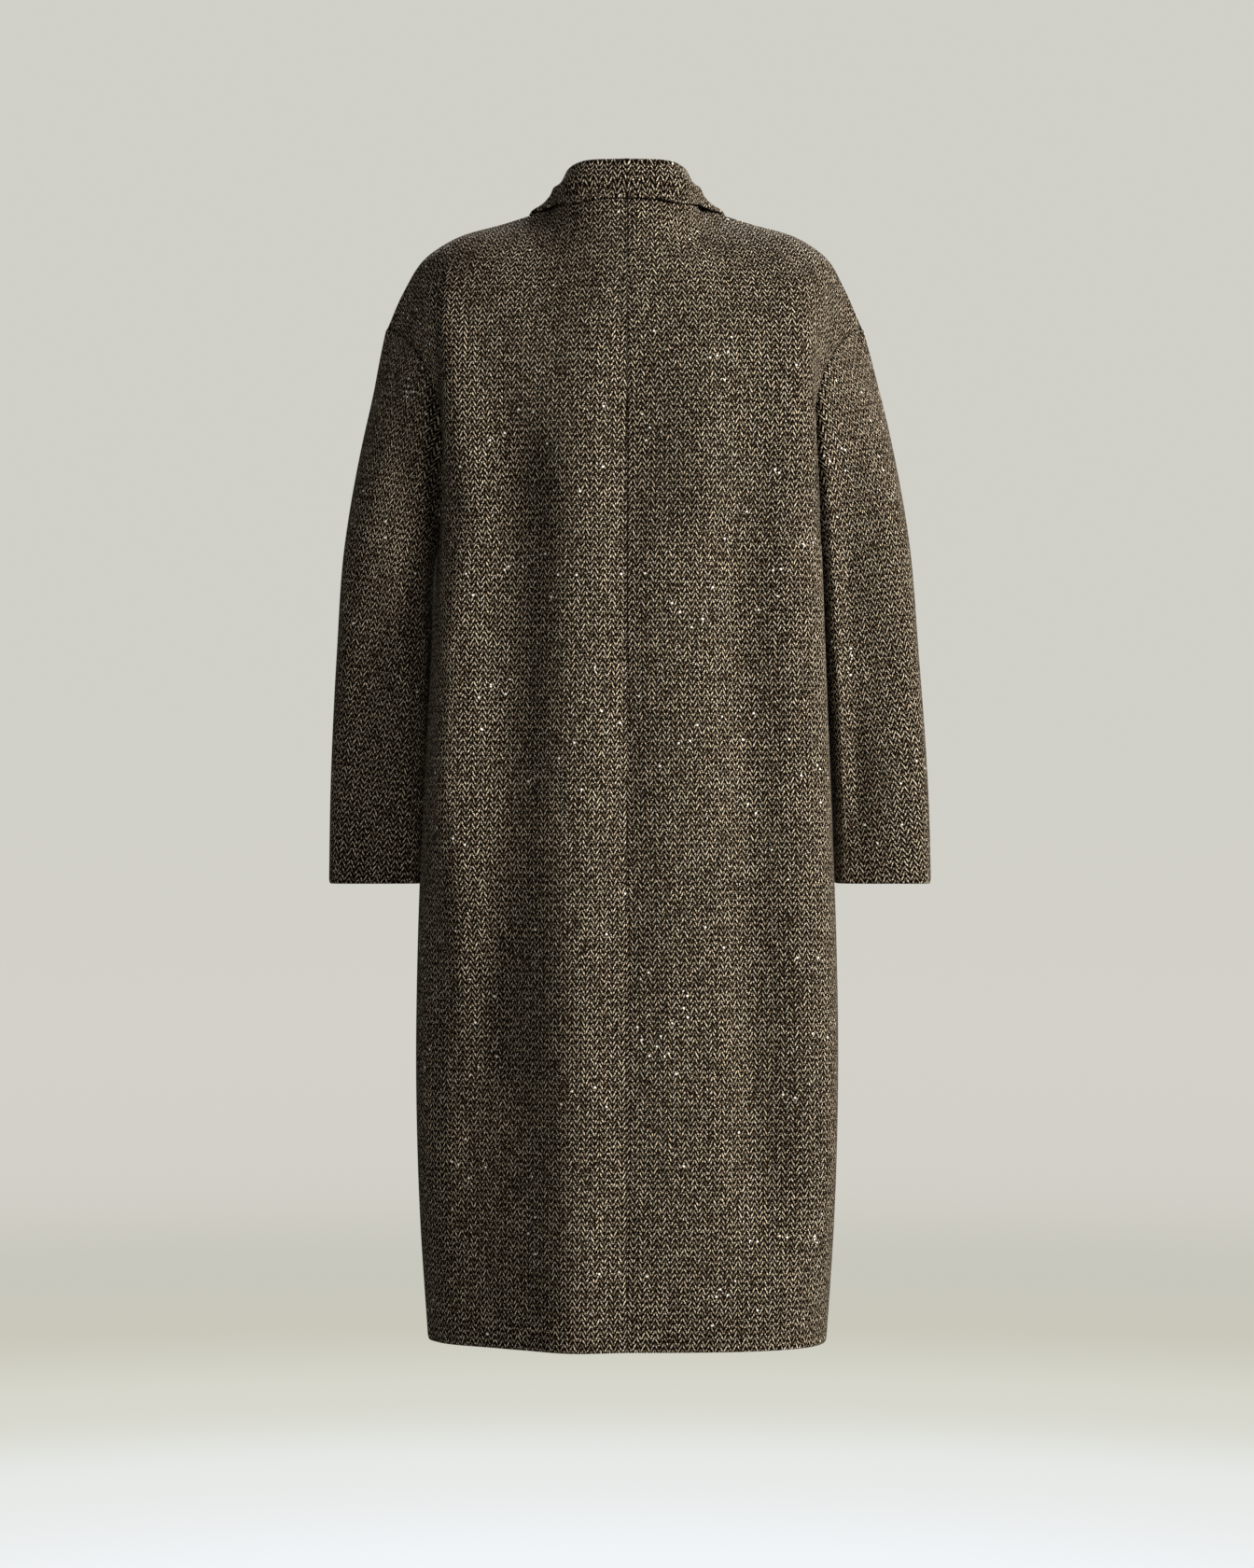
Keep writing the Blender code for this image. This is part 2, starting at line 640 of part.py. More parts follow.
def main():
    clear_scene()
    cloth = cloth_material()
    horn = button_material()
    names = {LEFT: "left", RIGHT: "right"}
    for side in (LEFT, RIGHT):
        back, back_normals = panel(side, "back")
        front, front_normals = panel(side, "front")
        arm, arm_normals = sleeve(side)
        for k in range(1, YOKE_ROWS + 1):
            j = (len(arm[0]) - k) % len(arm[0])
            share_normals(back_normals[BODY_ROWS + k], arm_normals[0], k)
            share_normals(front_normals[BODY_ROWS + k], arm_normals[0], j)
        both = unit(back_normals[-1, -1] + front_normals[-1, -1])
        back_normals[-1, -1] = both
        front_normals[-1, -1] = both
        arm_normals[0, YOKE_ROWS] = both
        for name, grid, normals, closed in (
            ("back_", back, back_normals, False),
            ("front_", front, front_normals, False),
            ("sleeve_", arm, arm_normals, True),
        ):
            grid = pull_in(grid, normals, closed)
            wall(name + names[side], grid, grid - normals * WALL, cloth, closed)
        flap, flap_normals = lapel(side, fine_panel(side, "front"))
        share = np.linspace(0.0, 1.0, LAPEL_COLUMNS + 1)[None, :, None]
        lift = ROLL_LIFT[side] + (LAPEL_LIFT - ROLL_LIFT[side]) * ease(2.0 * share)
        under = flap + flap_normals * lift
        wall("lapel_" + names[side], under + flap_normals * WALL, under, cloth)
    turned = collar()
    below = [fine_panel(side, face) for side in (LEFT, RIGHT) for face in ("back", "front")]
    turned[-3:] = lay_on(turned[-3:], below, 0.5 * COLLAR_WALL + COLLAR_GAP)
    out = grid_normals(turned)
    if out[-1, COLLAR_COLUMNS, 1] < 0.0:
        out = -out
    wall("collar", turned + out * COLLAR_WALL * 0.5, turned - out * COLLAR_WALL * 0.5, cloth)
    number = 1
    for z in BUTTON_Z:
        for x in (BUTTON_X, -BUTTON_X):
            round_button("button_%d" % number, x, z, horn)
            number += 1


if __name__ == "__main__":
    main()
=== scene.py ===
# %% [markdown]
# # A long herringbone coat
# The coat is filled out as if worn, with nobody in it, and is seen from behind. The frame holds one plain
# solid for each cut piece. Here every piece of cloth is made again as a fine, thin shell on the same
# form, so that the weave, the seams and the soft creases can show, and each button gets its holes and
# thread.

# %% The frame
import math

import bpy
import numpy as np
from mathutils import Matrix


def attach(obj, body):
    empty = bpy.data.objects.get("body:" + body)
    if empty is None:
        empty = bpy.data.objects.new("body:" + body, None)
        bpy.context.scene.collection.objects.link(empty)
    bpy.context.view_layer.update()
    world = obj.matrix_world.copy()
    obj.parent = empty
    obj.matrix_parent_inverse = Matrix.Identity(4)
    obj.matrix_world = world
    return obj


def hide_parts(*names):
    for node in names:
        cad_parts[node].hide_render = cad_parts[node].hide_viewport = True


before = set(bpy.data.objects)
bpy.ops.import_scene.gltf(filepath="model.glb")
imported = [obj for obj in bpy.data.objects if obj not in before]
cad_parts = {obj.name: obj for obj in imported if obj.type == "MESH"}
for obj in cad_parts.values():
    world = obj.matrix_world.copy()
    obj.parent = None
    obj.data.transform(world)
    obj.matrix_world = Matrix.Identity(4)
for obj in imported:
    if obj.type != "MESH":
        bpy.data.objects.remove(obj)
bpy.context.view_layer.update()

# %% [markdown]
# ## Camera
# A product picture of a garment is taken with a long lens from the height of its middle, so that upright
# lines stay upright. A lens of about 100 mm at four and a half metres gives the same slight spread at the
# hem.

# %% Camera
CAMERA_AWAY = 4.55
CAMERA_Z = -0.593
LENS = 102.4

camera_data = bpy.data.cameras.new("camera")
camera_data.sensor_width = 36.0
camera_data.lens = LENS
camera = bpy.data.objects.new("camera", camera_data)
camera.location = (0.0, CAMERA_AWAY, CAMERA_Z)
camera.rotation_euler = (math.radians(90.0), 0.0, math.radians(180.0))
bpy.context.scene.collection.objects.link(camera)
bpy.context.scene.camera = camera
print("camera", LENS, "mm at", CAMERA_AWAY, "m")

# %% [markdown]
# ## Studio
# The coat hangs in a pale room whose floor runs up into the wall with no edge. A profile turned round the
# middle gives such a room on every side, so the coat can be looked at from anywhere. The room shows only
# painted light: the floor glows palest near the coat, as a painted pool of light, and the wall glows a warm
# grey. In a studio the backdrop has lamps of its own, so the room glows by itself here and takes no part in
# lighting the coat.

# %% Room
FLOOR_Z = -1.535
ROOM_RADIUS = 7.0
ROOM_BEND = 1.6
ROOM_TOP = 4.5
ROOM_TURNS = 96
ROOM_HUB = 0.0005
FLOOR_RINGS = 24
BEND_RINGS = 16


def room_profile():
    points = [(r, FLOOR_Z) for r in np.linspace(ROOM_HUB, ROOM_RADIUS - ROOM_BEND, FLOOR_RINGS)]
    for a in np.linspace(0.0, 0.5 * math.pi, BEND_RINGS)[1:]:
        radius = ROOM_RADIUS - ROOM_BEND * (1.0 - math.sin(a))
        points.append((radius, FLOOR_Z + ROOM_BEND * (1.0 - math.cos(a))))
    points.append((ROOM_RADIUS, ROOM_TOP))
    return np.array(points)


def turned(profile, turns):
    """Points and faces of a profile of (radius, height) turned about the Z axis."""
    angle = 2.0 * math.pi * np.arange(turns) / turns
    points = [(r * math.cos(a), r * math.sin(a), z) for r, z in profile for a in angle]
    faces = []
    for k in range(len(profile) - 1):
        for j in range(turns):
            n = (j + 1) % turns
            faces.append((k * turns + j, k * turns + n, (k + 1) * turns + n, (k + 1) * turns + j))
    return points, faces


def new_piece(name, points, faces, material=None):
    mesh = bpy.data.meshes.new(name)
    mesh.from_pydata([tuple(map(float, p)) for p in points], [], [tuple(map(int, f)) for f in faces])
    mesh.update()
    mesh.shade_smooth()
    piece = bpy.data.objects.new(name, mesh)
    bpy.context.scene.collection.objects.link(piece)
    if material:
        mesh.materials.append(material)
    return piece


def plain_material(name, roughness):
    material = bpy.data.materials.new(name)
    material.use_nodes = True
    shader = material.node_tree.nodes["Principled BSDF"]
    shader.inputs["Roughness"].default_value = roughness
    return material, material.node_tree, shader


room = new_piece("room", *turned(room_profile(), ROOM_TURNS))
room.visible_diffuse = False
room.visible_glossy = False
room.visible_shadow = False
print("room faces", len(room.data.polygons))

# %% Painted light of the room
# Painted light: the glow of the room by distance from the middle, palest near the coat as a pool of light.
ROOM_GLOW = 1.0
ROOM_PAINTED_LIGHT = (
    (0.8, (0.886, 0.913, 0.939, 1.0)),
    (1.6, (0.800, 0.820, 0.800, 1.0)),
    (2.3, (0.687, 0.687, 0.617, 1.0)),
    (3.3, (0.591, 0.577, 0.499, 1.0)),
    (4.0, (0.578, 0.571, 0.508, 1.0)),
    (6.4, (0.651, 0.638, 0.584, 1.0)),
    (7.0, (0.638, 0.631, 0.578, 1.0)),
)

room_painted_light, tree, shader = plain_material("room_painted_light", roughness=0.9)
place = tree.nodes.new("ShaderNodeNewGeometry")
flat = tree.nodes.new("ShaderNodeVectorMath")
flat.operation = "MULTIPLY"
flat.inputs[1].default_value = (1.0 / ROOM_RADIUS, 1.0 / ROOM_RADIUS, 0.0)
away = tree.nodes.new("ShaderNodeVectorMath")
away.operation = "LENGTH"
painted_light_ramp = tree.nodes.new("ShaderNodeValToRGB")
painted_light_ramp.color_ramp.interpolation = "EASE"
while len(painted_light_ramp.color_ramp.elements) < len(ROOM_PAINTED_LIGHT):
    painted_light_ramp.color_ramp.elements.new(0.5)
for stop, (reach, tone) in zip(painted_light_ramp.color_ramp.elements, ROOM_PAINTED_LIGHT):
    stop.position = reach / ROOM_RADIUS
    stop.color = tone
tree.links.new(place.outputs["Position"], flat.inputs[0])
tree.links.new(flat.outputs["Vector"], away.inputs[0])
tree.links.new(away.outputs["Value"], painted_light_ramp.inputs["Fac"])
tree.links.new(painted_light_ramp.outputs["Color"], shader.inputs["Emission Color"])
shader.inputs["Emission Strength"].default_value = ROOM_GLOW
shader.inputs["Base Color"].default_value = (0.0, 0.0, 0.0, 1.0)
shader.inputs["Specular IOR Level"].default_value = 0.0
room.data.materials.append(room_painted_light)

# %% [markdown]
# ## Light
# One large soft light stands to the right of the camera and models the long folds of the back. A weak,
# broad one beside the camera fills the shadows, so the edges of the coat that turn away stay dark. A
# third hangs high before the coat and lights the lapels and buttons.

# %% Lights
COAT_MIDDLE = np.array([0.0, 0.0, -0.56])
AMBIENT_COLOUR = (1.0, 0.99, 0.965, 1.0)
AMBIENT = 0.10


def soft_light(name, place, size, power, colour):
    data = bpy.data.lights.new(name, "AREA")
    data.shape = "DISK"
    data.size = size
    data.energy = power
    data.color = colour
    lamp = bpy.data.objects.new(name, data)
    lamp.location = place
    aim = np.array(place) - COAT_MIDDLE
    turn_z = math.atan2(aim[1], aim[0]) + 0.5 * math.pi
    lean = math.acos(aim[2] / np.linalg.norm(aim))
    lamp.rotation_euler = (lean, 0.0, turn_z)
    lamp.visible_camera = False
    bpy.context.scene.collection.objects.link(lamp)


soft_light("key", (-3.86, 2.5, 0.85), size=1.7, power=320.0, colour=(1.0, 0.975, 0.93))
soft_light("fill", (0.2, 5.4, 0.3), size=2.6, power=80.0, colour=(1.0, 0.985, 0.96))
soft_light("front", (-0.45, -3.5, 2.9), size=0.8, power=280.0, colour=(1.0, 0.98, 0.95))

world = bpy.data.worlds.new("studio")
world.use_nodes = True
ambient = world.node_tree.nodes["Background"].inputs
ambient["Color"].default_value = AMBIENT_COLOUR
ambient["Strength"].default_value = AMBIENT
bpy.context.scene.world = world
bpy.context.scene.view_settings.view_transform = "Standard"

# %% [markdown]
# ## The cut of the coat
# These are the coat's own sizes in metres: +Z is up, the front faces -Y and the wearer's left is +X. The
# origin is inside the neck, level with the nape. The solids were made from the same sizes, so a shell
# through them lies where its solid lies.

# %% Sizes of the body
LEFT = 1
RIGHT = -1
SIDES = {LEFT: "left", RIGHT: "right"}


def table(names, *rows):
    return dict(zip(names.split(), np.array(rows, float).T))


WALL = 0.0025
SEAM_GAP = 0.00003
HEM_Z = -1.155
UNDERARM_Z = -0.355
CUFF_Z = -0.694
BACK_ROUND = 3.0
FRONT_ROUND = 2.15
SIDE_Y = 0.020
BODY = table(
    "z half_width back front",
    (-1.155, 0.2020, 0.141, 0.140),
    (-1.031, 0.2100, 0.143, 0.142),
    (-0.900, 0.2138, 0.143, 0.143),
    (-0.745, 0.2120, 0.141, 0.142),
    (-0.600, 0.2060, 0.137, 0.139),
    (-0.460, 0.1985, 0.131, 0.134),
    (-0.355, 0.1930, 0.125, 0.129),
)

# %% Sizes of the neck and shoulders
NECK_WIDTH = 0.074
NECK_BACK = 0.066
NECK_FRONT = 0.062
NECK_DROP = 0.080
NECK_Y = -0.004
NECK_Z = -0.003
NECK_SHARE = 0.33
NECK_SHARE_FRONT = 0.36
SHOULDER = table(
    "along x y z",
    (0.00, 0.0740, -0.004, -0.0030),
    (0.23, 0.1250, -0.006, -0.0197),
    (0.48, 0.1780, -0.008, -0.0368),
    (0.63, 0.2050, -0.009, -0.0560),
    (0.80, 0.2235, -0.010, -0.0870),
    (1.00, 0.2410, -0.010, -0.1260),
)
BACK_YOKE = table(
    "across leave_x leave_y leave_z arrive_x arrive_y arrive_z",
    (0.00, 0.00, 0.03, 0.42, 0.00, -0.16, 0.30),
    (0.33, 0.00, 0.05, 0.46, 0.00, -0.26, 0.20),
    (0.66, -0.01, 0.07, 0.46, 0.04, -0.38, 0.06),
    (0.85, -0.05, 0.13, 0.42, 0.11, -0.36, 0.06),
    (1.00, -0.05, 0.20, 0.32, 0.16, -0.27, 0.08),
)
FRONT_YOKE = table(
    "across leave_x leave_y leave_z arrive_x arrive_y arrive_z",
    (0.00, 0.00, 0.03, 0.27, 0.00, -0.13, 0.18),
    (0.36, 0.00, 0.05, 0.42, 0.00, -0.24, 0.20),
    (0.66, -0.01, 0.07, 0.46, 0.04, -0.38, 0.06),
    (0.85, -0.05, 0.13, 0.42, 0.11, -0.36, 0.06),
    (1.00, -0.05, 0.26, 0.32, 0.16, -0.27, 0.08),
)

# %% Sizes of the fronts and sleeves
OVERLAP = 0.090
BREAK_Z = -0.420
UNDER_DEPTH = 0.0095
UNDER_RAMP = 0.050
UNDER_MARGIN = 0.006
RIGHT_SWING = 0.006
SLEEVE_ROUND = 3.4
SLEEVE = table(
    "z outer inner middle_y half_depth",
    (-0.694, 0.3057, 0.2070, -0.036, 0.054),
    (-0.600, 0.3035, 0.2050, -0.028, 0.060),
    (-0.460, 0.2962, 0.1990, -0.015, 0.066),
    (-0.355, 0.2885, 0.1950, -0.008, 0.074),
    (-0.270, 0.2750, 0.1900, -0.004, 0.074),
    (-0.174, 0.2538, 0.1720, -0.006, 0.066),
    (-0.126, 0.2410, 0.1640, -0.008, 0.056),
)

# %% [markdown]
# ## Long folds
# Heavy wool falls from the shoulders in a few long, soft folds. Each row is one ridge, or one trough
# where its height is below nought: its place from the centre at the top and at the bottom, its height and
# half its width, and the heights that it starts and ends at. Places to the wearer's left are above
# nought.

# %% Long folds
SIDE_FADE = 0.12
SHOULDER_FADE = 0.25
FOLD_START = 0.22
FOLD_END = 0.18
BACK_FOLDS = table(
    "top_s bottom_s height half_width top_z bottom_z",
    (0.046, 0.052, 0.011, 0.058, -0.020, -1.360),
    (0.180, 0.095, -0.009, 0.055, -0.050, -0.360),
    (0.112, 0.135, -0.012, 0.055, -0.220, -0.950),
    (0.162, 0.165, -0.026, 0.120, -0.620, -1.560),
    (0.168, 0.180, 0.007, 0.045, -0.080, -0.900),
    (0.000, 0.000, -0.003, 0.030, -0.100, -0.900),
    (-0.042, -0.045, 0.004, 0.045, -0.160, -1.150),
    (-0.080, -0.088, 0.010, 0.070, -0.020, -0.360),
    (-0.112, -0.134, -0.014, 0.048, -0.120, -1.120),
    (-0.188, -0.204, 0.010, 0.055, -0.080, -1.150),
)
FRONT_FOLDS = table(
    "top_s bottom_s height half_width top_z bottom_z",
    (0.150, 0.155, 0.007, 0.060, -0.420, -1.300),
    (0.205, 0.215, -0.006, 0.050, -0.380, -1.100),
    (-0.160, -0.150, 0.006, 0.060, -0.460, -1.300),
    (-0.215, -0.220, -0.006, 0.050, -0.380, -1.050),
)


def ease(t):
    t = np.clip(t, 0.0, 1.0)
    return t * t * (3.0 - 2.0 * t)


def folds(rows, s, z):
    total = np.zeros(s.shape)
    for top_s, bottom_s, height, half_width, top_z, bottom_z in zip(*rows.values()):
        down = np.clip((top_z - z) / (top_z - bottom_z), 0.0, 1.0)
        place = top_s + (bottom_s - top_s) * down
        ridge = 0.5 + 0.5 * np.cos(math.pi * np.clip((s - place) / half_width, -1.0, 1.0))
        total += height * ridge * ease(down / FOLD_START) * ease((1.0 - down) / FOLD_END)
    return total


print("long folds", len(BACK_FOLDS["height"]), "behind and", len(FRONT_FOLDS["height"]), "in front")

# %% [markdown]
# ## Sections of the body
# Below the underarm the coat is a stack of level sections, each a rounded oval. Curves through the
# columns of the tables give a section at any height. Above, the cloth rises from the underarm section to
# the neck and the shoulder seam along smooth arcs, one for each place across.

# %% Curves and sections
SECTION_STEPS = 1441


def through(knots, values, at):
    """A smooth curve through one column of a table."""
    slopes = np.gradient(values, knots)
    at = np.clip(at, knots[0], knots[-1])
    i = np.clip(np.searchsorted(knots, at) - 1, 0, len(knots) - 2)
    span = knots[i + 1] - knots[i]
    t = (at - knots[i]) / span
    start = (1.0 + 2.0 * t) * (1.0 - t) ** 2 * values[i] + t * (1.0 - t) ** 2 * span * slopes[i]
    end = t * t * (3.0 - 2.0 * t) * values[i + 1] + t * t * (t - 1.0) * span * slopes[i + 1]
    return start + end


def columns(rows, knot, names, at):
    return np.stack([through(rows[knot], rows[name], at) for name in names.split()], axis=-1)


def unit(v):
    return v / np.maximum(np.linalg.norm(v, axis=-1, keepdims=True), 1e-12)


def lengths(points):
    steps = np.linalg.norm(np.diff(points, axis=0), axis=1)
    return np.concatenate([[0.0], np.cumsum(steps)])


def at_shares(points, shares):
    """Points of a line of points at shares of its length."""
    run = lengths(points)
    return np.stack([np.interp(shares * run[-1], run, points[:, k]) for k in range(3)], axis=-1)


def oval(angle, half_width, half_depth, power):
    c, s = np.cos(angle), np.sin(angle)
    x = half_width * np.sign(c) * np.abs(c) ** (2.0 / power)
    y = half_depth * np.sign(s) * np.abs(s) ** (2.0 / power)
    return x, y


def body_half(z, face):
    """Half a section of the body, from the left side seam over the back or front to the right one."""
    width = through(BODY["z"], BODY["half_width"], z)
    depth = through(BODY["z"], BODY[face], z) + (SIDE_Y if face == "front" else -SIDE_Y)
    power = BACK_ROUND if face == "back" else FRONT_ROUND
    x, y = oval(np.linspace(0.0, math.pi, SECTION_STEPS), width, depth, power)
    return np.stack([x, SIDE_Y + (y if face == "back" else -y), np.full(x.shape, z)], axis=-1)


def rise(level, start, end, yoke, across, flip):
    """The cloth between the underarm section and the shoulder."""
    leave = columns(yoke, "across", "leave_x leave_y leave_z", across) * flip
    arrive = columns(yoke, "across", "arrive_x arrive_y arrive_z", across) * flip
    t = level
    low = (1.0 + 2.0 * t) * (1.0 - t) ** 2 * start + t * (1.0 - t) ** 2 * leave
    return low + t * t * (3.0 - 2.0 * t) * end + t * t * (t - 1.0) * arrive


# %% Rows of the back
NECK_EASE = 0.28
NECK_FADE = 0.16
NECK_SIDE = 0.35
NECK_ROUND = 2.2
NECK_STEPS = 11
NECK_POINTS = 181


def softened(row, level, place):
    """A row with the corner of the neck worked out of it, as wool does below the collar."""
    inside = np.clip((1.0 - np.abs(place)) / NECK_SIDE, 0.0, 1.0)
    reach = NECK_EASE * ease((1.0 - level) / NECK_FADE) * inside
    steps = np.linspace(-1.0, 1.0, NECK_STEPS)[1:-1]
    weights = (1.0 - np.abs(steps)) / (1.0 - np.abs(steps)).sum()
    near = row(level, (place + np.outer(steps, reach)).ravel())
    return np.tensordot(weights, near.reshape(len(steps), len(place), 3), axes=1)


def neck_curve(share):
    """The back neck seam, from the nape to the side of the neck."""
    angle = 0.5 * math.pi * (1.0 - np.linspace(0.0, 1.0, NECK_POINTS))
    x, y = oval(angle, NECK_WIDTH, NECK_BACK, NECK_ROUND)
    curve = np.stack([x, y + NECK_Y, NECK_Z * ease(x / NECK_WIDTH)], axis=-1)
    return at_shares(curve, share)


def low_back(level, across):
    half = body_half(UNDERARM_Z + (UNDERARM_Z - HEM_Z) * level, "back")
    return at_shares(half, 0.5 - 0.5 * across)


def side_signs(place):
    """Signs that turn x over where the place is to the wearer's right of the centre."""
    return np.stack([np.sign(place), np.ones(len(place)), np.ones(len(place))], axis=-1)


def high_back(level, place):
    across = np.abs(place)
    share = np.clip((across - NECK_SHARE) / (1.0 - NECK_SHARE), 0.0, 1.0)
    seam = columns(SHOULDER, "along", "x y z", share)
    neck = neck_curve(np.clip(across / NECK_SHARE, 0.0, 1.0))
    end = np.where((across < NECK_SHARE)[:, None], neck, seam)
    return rise(level, low_back(0.0, across), end, BACK_YOKE, across, 1.0) * side_signs(place)


def back_row(side, level, across):
    """Points of half the back at a level, from the centre seam (0) to the side seam or armhole (1)."""
    points = low_back(level, across) if level <= 0.0 else softened(high_back, level, across)
    return points * (side, 1.0, 1.0)


# %% Rows of the fronts
CHEST_POINTS = 241


def chest_row(level, place):
    """Points of the whole front at a level, from the wearer's right armhole (-1) to the left one (1)."""
    if level <= 0.0:
        half = body_half(UNDERARM_Z + (UNDERARM_Z - HEM_Z) * level, "front")
        return at_shares(half, 0.5 - 0.5 * place)
    across = np.abs(place)
    turn = 0.5 * math.pi * np.clip(across / NECK_SHARE_FRONT, 0.0, 1.0)
    hollow = np.cos(turn)
    x = NECK_WIDTH * np.sin(turn)
    neck = np.stack([x, NECK_Y - NECK_FRONT * hollow, NECK_Z - NECK_DROP * hollow], axis=-1)
    share = np.clip((across - NECK_SHARE_FRONT) / (1.0 - NECK_SHARE_FRONT), 0.0, 1.0)
    seam = columns(SHOULDER, "along", "x y z", share)
    end = np.where((across < NECK_SHARE_FRONT)[:, None], neck, seam)
    mirror = side_signs(place)
    start = chest_row(0.0, place)
    return rise(level, start, end * mirror, FRONT_YOKE, across, mirror * (1.0, -1.0, 1.0))


def front_edge(side, z):
    """The x of a front's free edge: straight below, and the line its lapel turns back on above."""
    up = np.clip((z - BREAK_Z) / (NECK_Z - BREAK_Z), 0.0, 1.0)
    return side * (up * (NECK_WIDTH + OVERLAP) - OVERLAP)


def front_start(level):
    """Where the roll line or free edge of the left front crosses a level."""
    place = np.linspace(-1.0, 1.0, CHEST_POINTS)
    whole = chest_row(level, place)
    return np.interp(0.0, whole[:, 0] - front_edge(LEFT, whole[:, 2]), place)


def front_row(side, level, across):
    """Points of one front at a level, from its free edge (0) to its side seam or armhole (1)."""
    start = front_start(level)
    return chest_row(level, side * (start + (1.0 - start) * across))


# %% Rows of a panel with its long folds


def outward(points, side, face):
    """Level directions out of a row of points."""
    run = np.gradient(points, axis=0)
    out = np.stack([-run[:, 1], run[:, 0], np.zeros(len(run))], axis=-1)
    return unit(out) * (side if face == "back" else -side)


def panel_row(side, face, level, across):
    """A panel's outer points at a level: -1 is the hem, 0 the underarm and 1 the shoulder."""
    points = back_row(side, level, across) if face == "back" else front_row(side, level, across)
    out = outward(points, side, face)
    s = lengths(points)
    if face == "front":
        s = s - np.interp(0.0, side * points[:, 0], s)
    fade = ease((1.0 - across) / SIDE_FADE) * ease((1.0 - level) / SHOULDER_FADE)
    rows = BACK_FOLDS if face == "back" else FRONT_FOLDS
    amount = folds(rows, side * s, points[:, 2]) * fade
    if face == "front" and side == LEFT:
        beyond = points[:, 0] - front_edge(RIGHT, points[:, 2])
        amount = amount * ease(beyond / UNDER_RAMP)
        amount = amount - UNDER_DEPTH * (1.0 - ease((beyond - UNDER_MARGIN) / UNDER_RAMP))
    points = points + out * amount[:, None]
    if face == "back":
        points[0, 0] = 0.0
    return points


# %% [markdown]
# ## Fine grids
# A shell needs its points a few millimetres apart, and much closer beside a seam or a free edge, where
# the cloth dips into the stitching or turns over. The columns and rows are crowded there.

# %% Places across and up a panel
EDGE_STEPS = (0.0, 0.0007, 0.0016, 0.0028, 0.0045, 0.0070)
CLOTH_STEP = 0.0050
YOKE_RISE = 0.44
BACK_ACROSS = 0.29
FRONT_ACROSS = 0.36
LEVEL_APART = 0.25


def crowded(length):
    """Shares of a length, a few millimetres apart and crowded at both ends."""
    ends = np.array(EDGE_STEPS)
    inner = np.linspace(ends[-1], length - ends[-1], int((length - 2.0 * ends[-1]) / CLOTH_STEP) + 1)
    return np.concatenate([ends[:-1], inner, (length - ends[:-1])[::-1]]) / length


def panel_levels():
    """Rows from the hem to the underarm (0) and on to the shoulder, crowded at both ends."""
    body = crowded(2.0 * (UNDERARM_Z - HEM_Z))
    yoke = crowded(2.0 * YOKE_RISE)
    body = 2.0 * body[body <= 0.5] - 1.0
    yoke = 2.0 * yoke[yoke >= 0.5] - 1.0
    body[-1] = 0.0
    nearest = LEVEL_APART * CLOTH_STEP / YOKE_RISE
    return np.concatenate([body, yoke[yoke > nearest]])


def panel_grid(side, face, levels, across):
    return np.stack([panel_row(side, face, level, across) for level in levels])


def grid_normals(grid, closed=False):
    if closed:
        wrapped = np.concatenate([grid[:, -1:], grid, grid[:, :1]], axis=1)
        over = (wrapped[:, 2:] - wrapped[:, :-2]) * 0.5
    else:
        over = np.gradient(grid, axis=1)
    return unit(np.cross(over, np.gradient(grid, axis=0)))


levels = panel_levels()
across_back = crowded(BACK_ACROSS)
across_front = crowded(FRONT_ACROSS)
print("rows", len(levels), "columns", len(across_back), "behind and", len(across_front), "in front")

# %% [markdown]
# ## Sleeve
# A sleeve is a tube that starts as the armhole seam and becomes an oval at the cuff. Its first ring takes
# the points of the armhole, so that it meets the panels all round; farther down each point slides to its
# own place on the oval.

# %% Sleeve points
SEAM_FADE_LOW = 0.14
SEAM_FADE_HIGH = 0.50
SEAM_FADE_RISE = 0.15
SLIDE_SHARE = 0.6
SLEEVE_LENGTH = 0.50
ARMHOLE_POINTS = 101


def sleeve_section(z):
    outer = through(SLEEVE["z"], SLEEVE["outer"], z)
    inner = through(SLEEVE["z"], SLEEVE["inner"], z)
    middle = through(SLEEVE["z"], SLEEVE["middle_y"], z)
    half_depth = through(SLEEVE["z"], SLEEVE["half_depth"], z)
    return 0.5 * (outer + inner), middle, 0.5 * (outer - inner), half_depth


def sleeve_points(angle, z):
    mid_x, mid_y, half_x, half_y = sleeve_section(z)
    x, y = oval(angle, half_x, half_y, SLEEVE_ROUND)
    return np.stack([mid_x + x, mid_y + y, z], axis=-1)


def armhole(side, yoke_levels):
    """The armhole seam, from the underarm up the back, over the shoulder and down the front."""
    across = np.linspace(0.0, 1.0, ARMHOLE_POINTS)
    back = np.stack([panel_row(side, "back", level, across)[-1] for level in yoke_levels])
    front = np.stack([panel_row(side, "front", level, across)[-1] for level in yoke_levels])
    return np.concatenate([back, front[-2:0:-1]])


